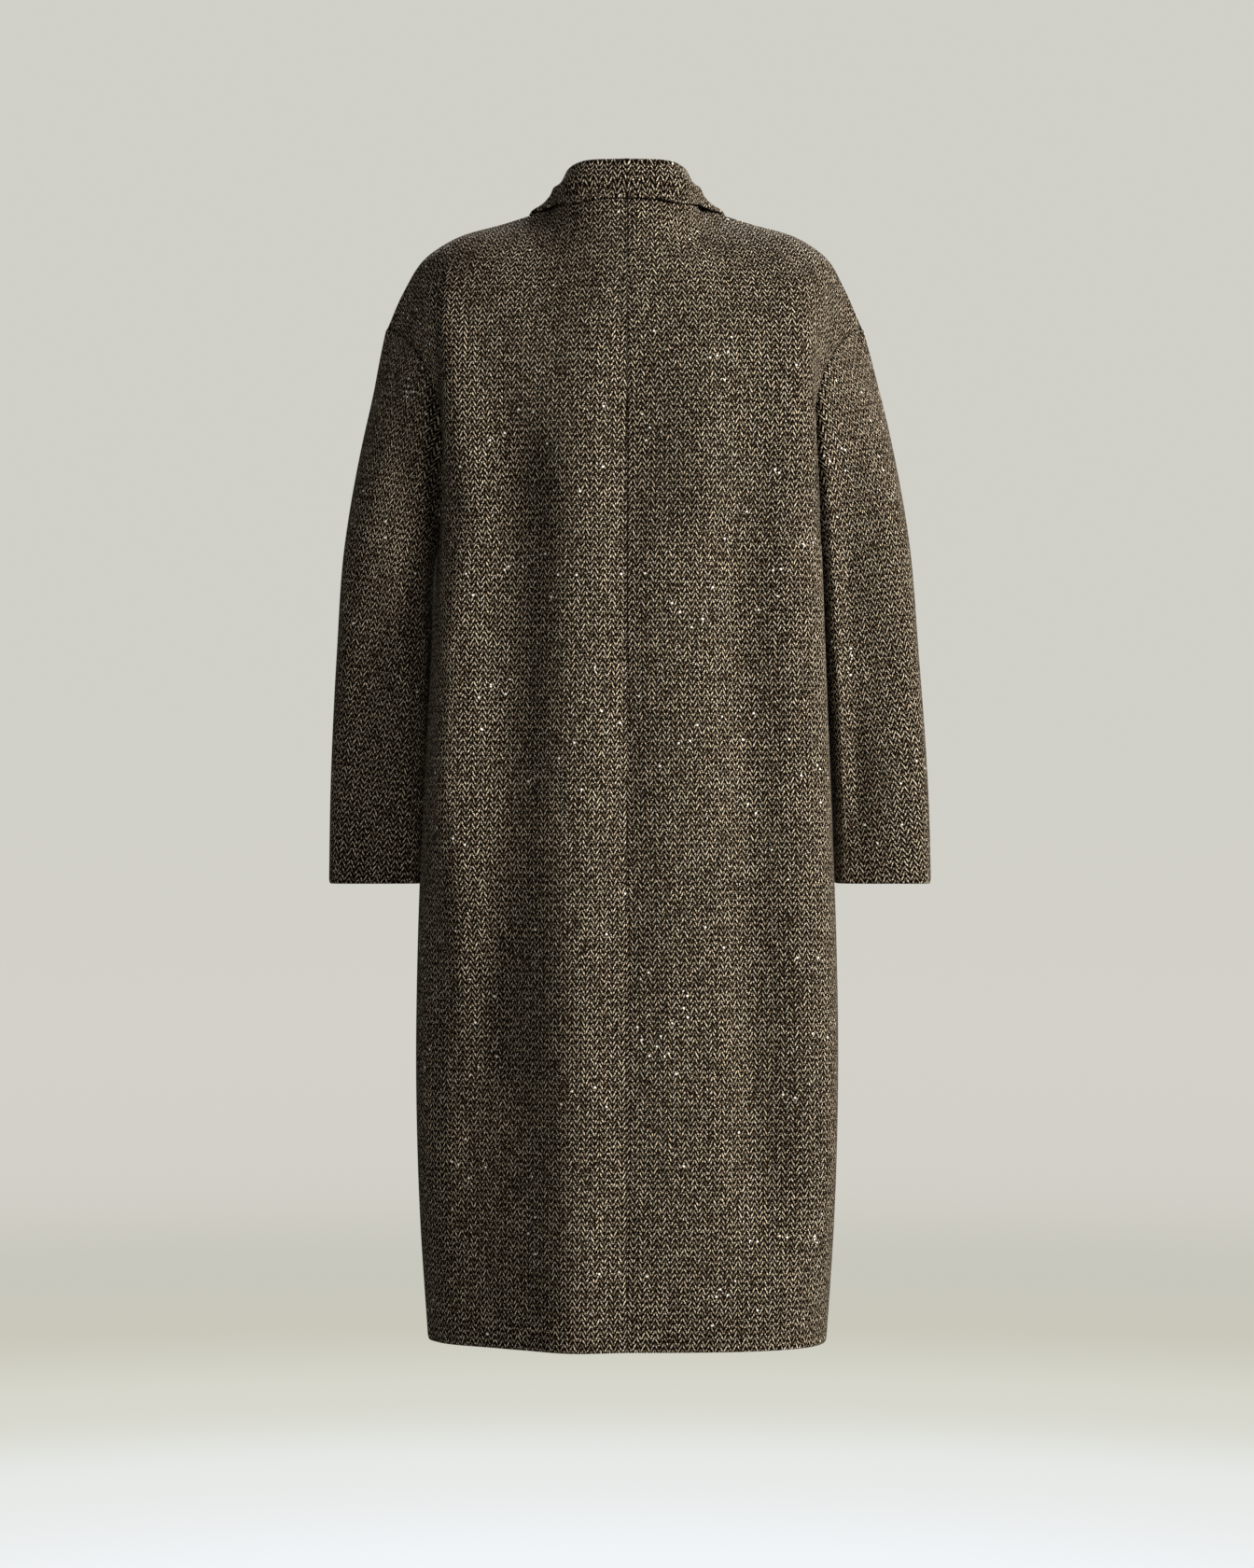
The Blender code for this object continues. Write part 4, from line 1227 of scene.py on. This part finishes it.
def share_directions(back_out, front_out, arm_out):
    """Gives the panels and the sleeve one direction at each point of their armhole."""
    low = len(levels) - len(yoke_levels)
    ring = arm_out.shape[1]
    for k in range(1, len(yoke_levels)):
        for out, j in ((back_out, k), (front_out, (ring - k) % ring)):
            both = unit(out[low + k, -1] + arm_out[0, j])
            out[low + k, -1] = both
            arm_out[0, j] = both


def panel_piece(side, face, grid, out, across, free, seams):
    name = face + "_" + SIDES[side]
    uv = panel_uv(name, side, face, across)
    grid = drawn_back(grid, out)
    outer = dipped(grid, out, seams, free)
    cloth_piece(name, outer, grid - out * WALL, uv, free, seams)


def sleeve_piece(side, grid, out):
    name = "sleeve_" + SIDES[side]
    uv = sleeve_uv(name, side)
    grid = drawn_back(grid, out, closed=True)
    outer = dipped(grid, out, ["low"], ["high"])
    inner = grid - out * WALL
    cloth_piece(name, outer, inner, uv, ["high"], ["low"], closed=True)


# %% Back, front and sleeve of each side
for side in (LEFT, RIGHT):
    back = creased(panel_grid(side, "back", levels, across_back))
    front = creased(panel_grid(side, "front", levels, across_front))
    arm = creased(sleeve_grid(side, yoke_levels, downs))
    back_out = panel_normals(back, side, "back")
    front_out = panel_normals(front, side, "front")
    arm_out = grid_normals(arm, closed=True) * side
    share_directions(back_out, front_out, arm_out)
    panel_piece(side, "back", back, back_out, across_back, ["low"], ["high", "last", "first"])
    panel_piece(side, "front", front, front_out, across_front, ["low", "first"], ["high", "last"])
    sleeve_piece(side, arm, arm_out)

# %% [markdown]
# ## Collar
# The collar is one folded piece: it stands up from the neck seam, rolls over and falls on the shoulders.
# Its middle surface is a run of straight and round stretches at each place round the neck. The outer part
# of the fall is then laid on the shoulders: lifted where it would sink into them, and pressed down where
# it stands off.

# %% Sizes of the collar
COLLAR_WALL = 0.0034
COLLAR = table(
    "around roll_x roll_y roll_z edge_x edge_y edge_z bow sag",
    (0.00, 0.0000, 0.0650, 0.0345, 0.0000, 0.0740, 0.0000, 0.003, 0.000),
    (0.28, 0.0450, 0.0470, 0.0340, 0.0625, 0.0610, -0.0015, 0.001, 0.000),
    (0.56, 0.0605, -0.0040, 0.0240, 0.0960, -0.0030, -0.0065, -0.005, 0.000),
    (0.68, 0.0600, -0.0170, 0.0110, 0.1060, -0.0280, -0.0190, -0.002, 0.000),
    (0.80, 0.0570, -0.0300, -0.0040, 0.1170, -0.0410, -0.0320, -0.002, 0.000),
    (1.00, 0.0480, -0.0540, -0.0540, 0.1220, -0.0500, -0.0500, 0.000, -0.008),
)
COLLAR_SIDE = 0.56
ROLL_RADIUS = 0.0030
COLLAR_GAP = 0.0009
FALL_GAP = 0.0022
STAND_INSIDE = 0.0045
STAND_LAP = 0.0045
NEAR_LEVELS = np.linspace(-0.12, 0.995, 160)
NEAR_ACROSS = np.linspace(0.0, 1.0, 121)


def lay_on(points, panels, clear, press):
    """Lifts points that are too near the panels below, and presses the others down on them by a share."""
    spots = np.concatenate([grid.reshape(-1, 3) for grid, normals in panels])
    ups = np.concatenate([normals.reshape(-1, 3) for grid, normals in panels])
    flat = points.reshape(-1, 3).copy()
    share = np.repeat(press, points.shape[1])
    for k, p in enumerate(flat):
        near = np.argmin(((spots - p) ** 2).sum(axis=1))
        height = np.dot(p - spots[near], ups[near])
        lifted = max(clear, height + (clear - height) * share[k])
        flat[k] = p + ups[near] * (lifted - height)
    return flat.reshape(points.shape)


def near_panel(side, face):
    """A panel's points near the neck and chest, for pieces that lie on it."""
    grid = creased(panel_grid(side, face, NEAR_LEVELS, NEAR_ACROSS))
    return grid, grid_normals(grid) * (-side if face == "back" else side)


def collar_base(around):
    """The neck seam from the nape to the collar's front end, on the wearer's left."""
    back = neck_curve(np.clip(around / COLLAR_SIDE, 0.0, 1.0))
    down = np.clip((around - COLLAR_SIDE) / (1.0 - COLLAR_SIDE), 0.0, 1.0)
    front = chest_row(1.0, NECK_SHARE_FRONT + (front_start(1.0) - NECK_SHARE_FRONT) * down)
    return np.where((around <= COLLAR_SIDE)[:, None], back, front)


def collar_surface(half, stand_at, turn_at, fall_at):
    base = collar_base(half) + (0.0, 0.0, COLLAR_GAP)
    roll = columns(COLLAR, "around", "roll_x roll_y roll_z", half)
    edge = columns(COLLAR, "around", "edge_x edge_y edge_z", half)
    out = unit((edge - roll) * (1.0, 1.0, 0.0))
    up = np.array([0.0, 0.0, 1.0])
    bend = columns(COLLAR, "around", "bow sag", half)
    bend = out * bend[:, :1] + up * bend[:, 1:]
    middle = roll - up * ROLL_RADIUS
    arc = [middle + ROLL_RADIUS * (math.cos(a) * out + math.sin(a) * up) for a in np.radians(turn_at)]
    base = base - out * STAND_INSIDE - up * STAND_LAP
    stand = [base + (arc[0] - base) * t for t in stand_at]
    fall = [arc[-1] + (edge - arc[-1]) * t + bend * math.sin(math.pi * t) for t in fall_at]
    left = np.stack(stand + arc + fall, axis=0)
    right = left[:, :0:-1] * (-1.0, 1.0, 1.0)
    return np.concatenate([right, left], axis=1)


# %% Collar laid on the shoulders
COLLAR_HALF = 90
COLLAR_COARSE = 16
COLLAR_SKIP = 3
STAND_AT = np.linspace(0.0, 0.92, 10)
TURN_AT = np.linspace(180.0, 15.0, 12)
FALL_AT = np.concatenate([np.linspace(0.06, 0.94, 16), (0.97, 0.99, 1.0)])
FALL_FROM = 0.45
PRESS = 0.85
PRESS_RAMP = 0.50
SMOOTH_PASSES = 12

half = np.linspace(0.0, 1.0, COLLAR_HALF + 1)
turned_collar = collar_surface(half, STAND_AT, TURN_AT, FALL_AT)
below = {(side, face): near_panel(side, face) for side in (LEFT, RIGHT) for face in ("back", "front")}
fallen = int((FALL_AT > FALL_FROM).sum())
press = PRESS * ease((FALL_AT[-fallen:] - FALL_FROM) / PRESS_RAMP)
clear = 0.5 * COLLAR_WALL + FALL_GAP
turned_collar[-fallen:] = lay_on(turned_collar[-fallen:], list(below.values()), clear, press)
for k in range(SMOOTH_PASSES):
    inside = turned_collar[-fallen:]
    sides = 0.5 * (inside[:, :-2] + inside[:, 2:])
    turned_collar[-fallen:, 1:-1] = 0.5 * inside[:, 1:-1] + 0.5 * sides
collar_out = grid_normals(turned_collar)
if collar_out[-1, COLLAR_HALF, 1] < 0.0:
    collar_out = -collar_out

# %% Collar cut and piece
coarse_half = np.linspace(0.0, 1.0, COLLAR_COARSE + 1)
coarse = collar_surface(coarse_half, STAND_AT[::COLLAR_SKIP], TURN_AT[::COLLAR_SKIP], FALL_AT[::COLLAR_SKIP])
flat = lay_flat(coarse)
flat = upright(flat, flat[:, COLLAR_COARSE])
cut_sizes["collar"] = flat_size(flat)
rows = np.arange(len(turned_collar))
stretches = np.split(rows, [len(STAND_AT), len(STAND_AT) + len(TURN_AT)])
rows_at = np.concatenate([stretch[::COLLAR_SKIP] for stretch in stretches])
cols_at = np.concatenate([-coarse_half[:0:-1], coarse_half])
cols = np.concatenate([-half[:0:-1], half])
uv = other_cloth(spread(flat, rows_at, cols_at, rows, cols))
free = ["high", "first", "last"]
outer = dipped(turned_collar + collar_out * 0.5 * COLLAR_WALL, collar_out, [], free)
inner = turned_collar - collar_out * 0.5 * COLLAR_WALL
cloth_piece("collar", outer, inner, uv, free, [])

# %% [markdown]
# ## Lapels
# Each lapel is the top of a front turned back along its roll line. It is laid on the points of the front
# beside it and lifted off them, least at the roll line and a little more at its outer edge.

# %% Lapels
LAPEL = table(
    "along roll_x roll_z outer_x outer_z",
    (0.00, -0.0890, -0.4180, -0.0830, -0.4140),
    (0.35, -0.0400, -0.2930, 0.0060, -0.2900),
    (0.70, 0.0090, -0.1680, 0.0900, -0.1700),
    (1.00, 0.0505, -0.0630, 0.1480, -0.0800),
)
LAPEL_LIFT = 0.0029
ROLL_LIFT = {LEFT: 0.0019, RIGHT: 0.0008}
LAPEL_LENGTH = 0.42
LAPEL_WIDTH = 0.10
LAPEL_SKIP_ALONG = 5
LAPEL_SKIP_OVER = 3


def on_panel(spots, panel):
    """Points of a front at places seen from the front."""
    grid, normals = (part.reshape(-1, 3) for part in panel)
    near = np.argmin(((grid[None, :, ::2] - spots[:, None, :]) ** 2).sum(axis=2), axis=1)
    point, up = grid[near], normals[near]
    away = spots - point[:, ::2]
    y = point[:, 1] - (up[:, 0] * away[:, 0] + up[:, 2] * away[:, 1]) / up[:, 1]
    return np.stack([spots[:, 0], y, spots[:, 1]], axis=-1)


def lapel_piece(side, front):
    name = "lapel_" + SIDES[side]
    along, over = crowded(LAPEL_LENGTH), crowded(LAPEL_WIDTH)
    roll = columns(LAPEL, "along", "roll_x roll_z", along)
    outer_edge = columns(LAPEL, "along", "outer_x outer_z", along)
    grid = [on_panel((roll + (outer_edge - roll) * t) * (side, 1.0), front) for t in over]
    grid = np.stack(grid, axis=1)
    normals = grid_normals(grid) * side
    lift = ROLL_LIFT[side] + (LAPEL_LIFT - ROLL_LIFT[side]) * ease(2.0 * over)[None, :, None]
    under = grid + normals * lift
    flat = lay_flat(grid[::LAPEL_SKIP_ALONG, ::LAPEL_SKIP_OVER])
    flat = upright(flat, flat[: len(flat) * 2 // 3, -1])
    cut_sizes[name] = flat_size(flat)
    uv = other_cloth(spread(flat, along[::LAPEL_SKIP_ALONG], over[::LAPEL_SKIP_OVER], along, over))
    free = ["high", "last", "low"]
    outer = dipped(under + normals * WALL, normals, [], free)
    cloth_piece(name, outer, under, uv, free, [])


for side in (LEFT, RIGHT):
    lapel_piece(side, below[side, "front"])

# %% [markdown]
# ## Buttons
# The buttons are turned from dark horn: a flat back, a rounded rim and a dished face with four holes. The
# holes are drilled with small cylinders. Each is sewn on with two bars of thread, and stands square to
# the cloth.

# %% Button form
BUTTON_X = 0.062
BUTTON_Z = (-0.445, -0.575, -0.705)
BUTTON_RADIUS = 0.0145
BUTTON_THICK = 0.0040
BUTTON_STAND = 0.0004
BUTTON_TURNS = 56
BUTTON_SHARP = math.radians(40.0)
BUTTON = table(
    "radius height",
    (0.02, 0.00),
    (0.80, 0.00),
    (0.91, 0.08),
    (0.98, 0.24),
    (1.00, 0.45),
    (0.99, 0.68),
    (0.95, 0.88),
    (0.89, 0.98),
    (0.84, 1.00),
    (0.79, 0.96),
    (0.74, 0.86),
    (0.68, 0.74),
    (0.58, 0.66),
    (0.30, 0.62),
    (0.02, 0.62),
)
HOLE_AWAY = 0.0022
HOLE_RADIUS = 0.0010
HOLE_SIDES = 20
DRILL_LENGTH = 0.02
DARK_HORN = (0.011, 0.007, 0.005, 1.0)
PALE_HORN = (0.075, 0.042, 0.022, 1.0)
HORN_STRETCH = (1.0, 5.0, 1.0)
HORN_SCALE = 140.0
HORN_DEPTH = 0.0003
HORN_TONES = (0.35, 0.7)
HORN_ROUGHNESS = (0.3, 0.8, 0.26, 0.42)


def front_spot(x, z):
    """A point of the over front below the underarm."""
    row = creased(panel_row(RIGHT, "front", (z - UNDERARM_Z) / (UNDERARM_Z - HEM_Z), across_front))[::-1]
    return np.array([x, np.interp(x, row[:, 0], row[:, 1]), z])


def front_frame(x, z, reach):
    """Directions across, up and out of the over front at a place."""
    across = unit(front_spot(x + reach, z) - front_spot(x - reach, z))
    upward = front_spot(x, z + reach) - front_spot(x, z - reach)
    out = unit(np.cross(across, upward))
    return across, np.cross(out, across), out


def horn_material():
    material, tree, shader = plain_material("dark_horn", roughness=0.32)
    n = Nodes(tree)
    place = tree.nodes.new("ShaderNodeTexCoord").outputs["Object"]
    stretch = tree.nodes.new("ShaderNodeVectorMath")
    stretch.operation = "MULTIPLY"
    n.put(stretch.inputs[0], place)
    stretch.inputs[1].default_value = HORN_STRETCH
    grain = n.noise(stretch.outputs["Vector"], HORN_SCALE, detail=4.0, rough=0.6)[0]
    n.put(shader.inputs["Base Color"], n.mix(n.ramp(grain, *HORN_TONES), DARK_HORN, PALE_HORN))
    n.put(shader.inputs["Roughness"], n.ramp(grain, *HORN_ROUGHNESS))
    n.bump(shader, grain, strength=0.15, distance=HORN_DEPTH)
    return material


def drilled(piece):
    """Cuts the four thread holes through a button."""
    drills = []
    for x in (-HOLE_AWAY, HOLE_AWAY):
        for y in (-HOLE_AWAY, HOLE_AWAY):
            spot = (x, y, 0.0)
            bpy.ops.mesh.primitive_cylinder_add(
                vertices=HOLE_SIDES, radius=HOLE_RADIUS, depth=DRILL_LENGTH, location=spot
            )
            drills.append(bpy.context.object)
    for drill in drills:
        cut = piece.modifiers.new("hole", "BOOLEAN")
        cut.operation = "DIFFERENCE"
        cut.solver = "EXACT"
        cut.object = drill
    view = bpy.context.evaluated_depsgraph_get()
    mesh = bpy.data.meshes.new_from_object(piece.evaluated_get(view))
    piece.modifiers.clear()
    piece.data = mesh
    for drill in drills:
        bpy.data.objects.remove(drill)
    return mesh


horn = horn_material()
profile = np.stack([BUTTON["radius"] * BUTTON_RADIUS, BUTTON["height"] * BUTTON_THICK], axis=-1)
points, faces = turned(profile, BUTTON_TURNS)
last = (len(profile) - 1) * BUTTON_TURNS
faces += [tuple(range(BUTTON_TURNS - 1, -1, -1)), tuple(range(last, last + BUTTON_TURNS))]
blank = new_piece("button_blank", points, faces, horn)
button_mesh = drilled(blank)
button_mesh.shade_smooth()
button_mesh.set_sharp_from_angle(angle=BUTTON_SHARP)
print("button faces", len(button_mesh.polygons))

# %% Buttons in place


def matrix_of(spot, across, up, out):
    """A matrix whose columns are three directions and a place."""
    return np.array([[across[k], up[k], out[k], spot[k]] for k in range(3)] + [[0.0, 0.0, 0.0, 1.0]])


def button_piece(number, frame_at):
    """One button put in place, which stands for its solid."""
    mesh = button_mesh.copy()
    points = np.array([v.co[:] + (1.0,) for v in mesh.vertices]) @ frame_at.T
    mesh.vertices.foreach_set("co", points[:, :3].reshape(-1).astype(np.float32))
    mesh.update()
    piece = bpy.data.objects.new("button_%d_horn" % number, mesh)
    bpy.context.scene.collection.objects.link(piece)
    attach(piece, "root")
    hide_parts("button_%d" % number)


button_places = []
for z in BUTTON_Z:
    for x in (BUTTON_X, -BUTTON_X):
        across, up, out = front_frame(x, z, BUTTON_RADIUS)
        button_places.append(matrix_of(front_spot(x, z) + out * BUTTON_STAND, across, up, out))
        button_piece(len(button_places), button_places[-1])
bpy.data.objects.remove(blank)
print("buttons", len(button_places))

# %% [markdown]
# ## Thread
# Each button is sewn on with two bars of three strands through its holes. On the over front, the outer
# column closes the coat, so a buttonhole lies under each of those buttons and shows beside it: a slit
# whose two lips are overcast with close stitches. Every strand and stitch is a thin bent tube, and all of
# them are one mesh.

# %% Thread
THREAD_RADIUS = 0.00032
THREAD_SIDE = np.array([0.31, 0.83, 0.46])
STRAND_SHIFTS = (-0.0005, 0.0, 0.0005)
STRAND_ARCH = 0.0007
STRAND_LOWER = 0.4
STRAND_LINE = ((-0.93, 0.5), (-0.5, 1.0), (0.0, 1.2))
STRAND_SUNK = 0.0014
HOLE_INNER = 0.034
HOLE_OUTER = 0.003
STITCH_STEP = 0.0011
STITCH_REACH = 0.0021
STITCH_UNEVEN = 0.08
STITCH_WAVE = 5.3
STITCH_FRAME = 0.004
STITCH_START = ((0.0001, -0.0002), (0.0004, 0.0003))
STITCH_ARCH = ((0.55, 0.0004), (0.92, 0.0002), (1.0, -0.0004))
FIBRE_SCALE = 2200.0
DARK_THREAD = (0.010, 0.007, 0.005, 1.0)
PALE_THREAD = (0.055, 0.038, 0.025, 1.0)


def tube(path, radius, sides=6):
    """Points and faces of a bent tube with closed ends."""
    path = np.array(path)
    run = unit(np.gradient(path, axis=0))
    aside = unit(np.cross(run, THREAD_SIDE))
    over = np.cross(run, aside)
    angle = 2.0 * math.pi * np.arange(sides) / sides
    c, s = np.cos(angle)[None, :, None], np.sin(angle)[None, :, None]
    rings = path[:, None] + radius * (c * aside[:, None] + s * over[:, None])
    faces = []
    for r in range(len(path) - 1):
        for k in range(sides):
            n = (k + 1) % sides
            faces.append((r * sides + k, r * sides + n, (r + 1) * sides + n, (r + 1) * sides + k))
    last = (len(path) - 1) * sides
    faces += [tuple(range(sides - 1, -1, -1)), tuple(range(last, last + sides))]
    return rings.reshape(-1, 3), faces


def button_strands(place):
    """Strands from hole to hole over the dished face, in the button's own directions."""
    face = BUTTON_THICK * BUTTON["height"][-1]
    strands = []
    for y in (-HOLE_AWAY, HOLE_AWAY):
        for shift in STRAND_SHIFTS:
            arch = STRAND_ARCH - STRAND_LOWER * abs(shift)
            line = [(-1.0, -STRAND_SUNK)] + [(x, share * arch) for x, share in STRAND_LINE]
            line += [(-x, height) for x, height in line[-2::-1]]
            spots = [(x * HOLE_AWAY, y + shift, face + height, 1.0) for x, height in line]
            strands.append((np.array(spots) @ place.T)[:, :3])
    return strands


def hole_stitches(x, z):
    """Overcast stitches along both lips of a buttonhole, from its inner end to under its button."""
    stitches = []
    for k, at in enumerate(np.arange(x - HOLE_INNER, x + HOLE_OUTER, STITCH_STEP)):
        up, out = front_frame(at, z, STITCH_FRAME)[1:]
        spot = front_spot(at, z)
        for lip in (-1.0, 1.0):
            reach = STITCH_REACH * (1.0 + STITCH_UNEVEN * math.sin(STITCH_WAVE * k + lip))
            line = list(STITCH_START) + [(share * reach, height) for share, height in STITCH_ARCH]
            stitches.append([spot + lip * up * aside + out * height for aside, height in line])
    return stitches


def thread_material():
    material, tree, shader = plain_material("thread", roughness=0.7)
    n = Nodes(tree)
    place = tree.nodes.new("ShaderNodeTexCoord").outputs["Object"]
    fibre = n.noise(place, FIBRE_SCALE)[0]
    n.put(shader.inputs["Base Color"], n.mix(fibre, DARK_THREAD, PALE_THREAD))
    return material


tubes = []
for place in button_places:
    tubes += button_strands(place)
for z in BUTTON_Z:
    tubes += hole_stitches(BUTTON_X, z)
points, faces = [], []
for path in tubes:
    ring_points, ring_faces = tube(path, THREAD_RADIUS)
    faces += [tuple(i + len(points) for i in face) for face in ring_faces]
    points += list(ring_points)
thread = new_piece("button_thread", points, faces, thread_material())
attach(thread, "root")
print("strands and stitches", len(tubes), "with", len(faces), "faces")
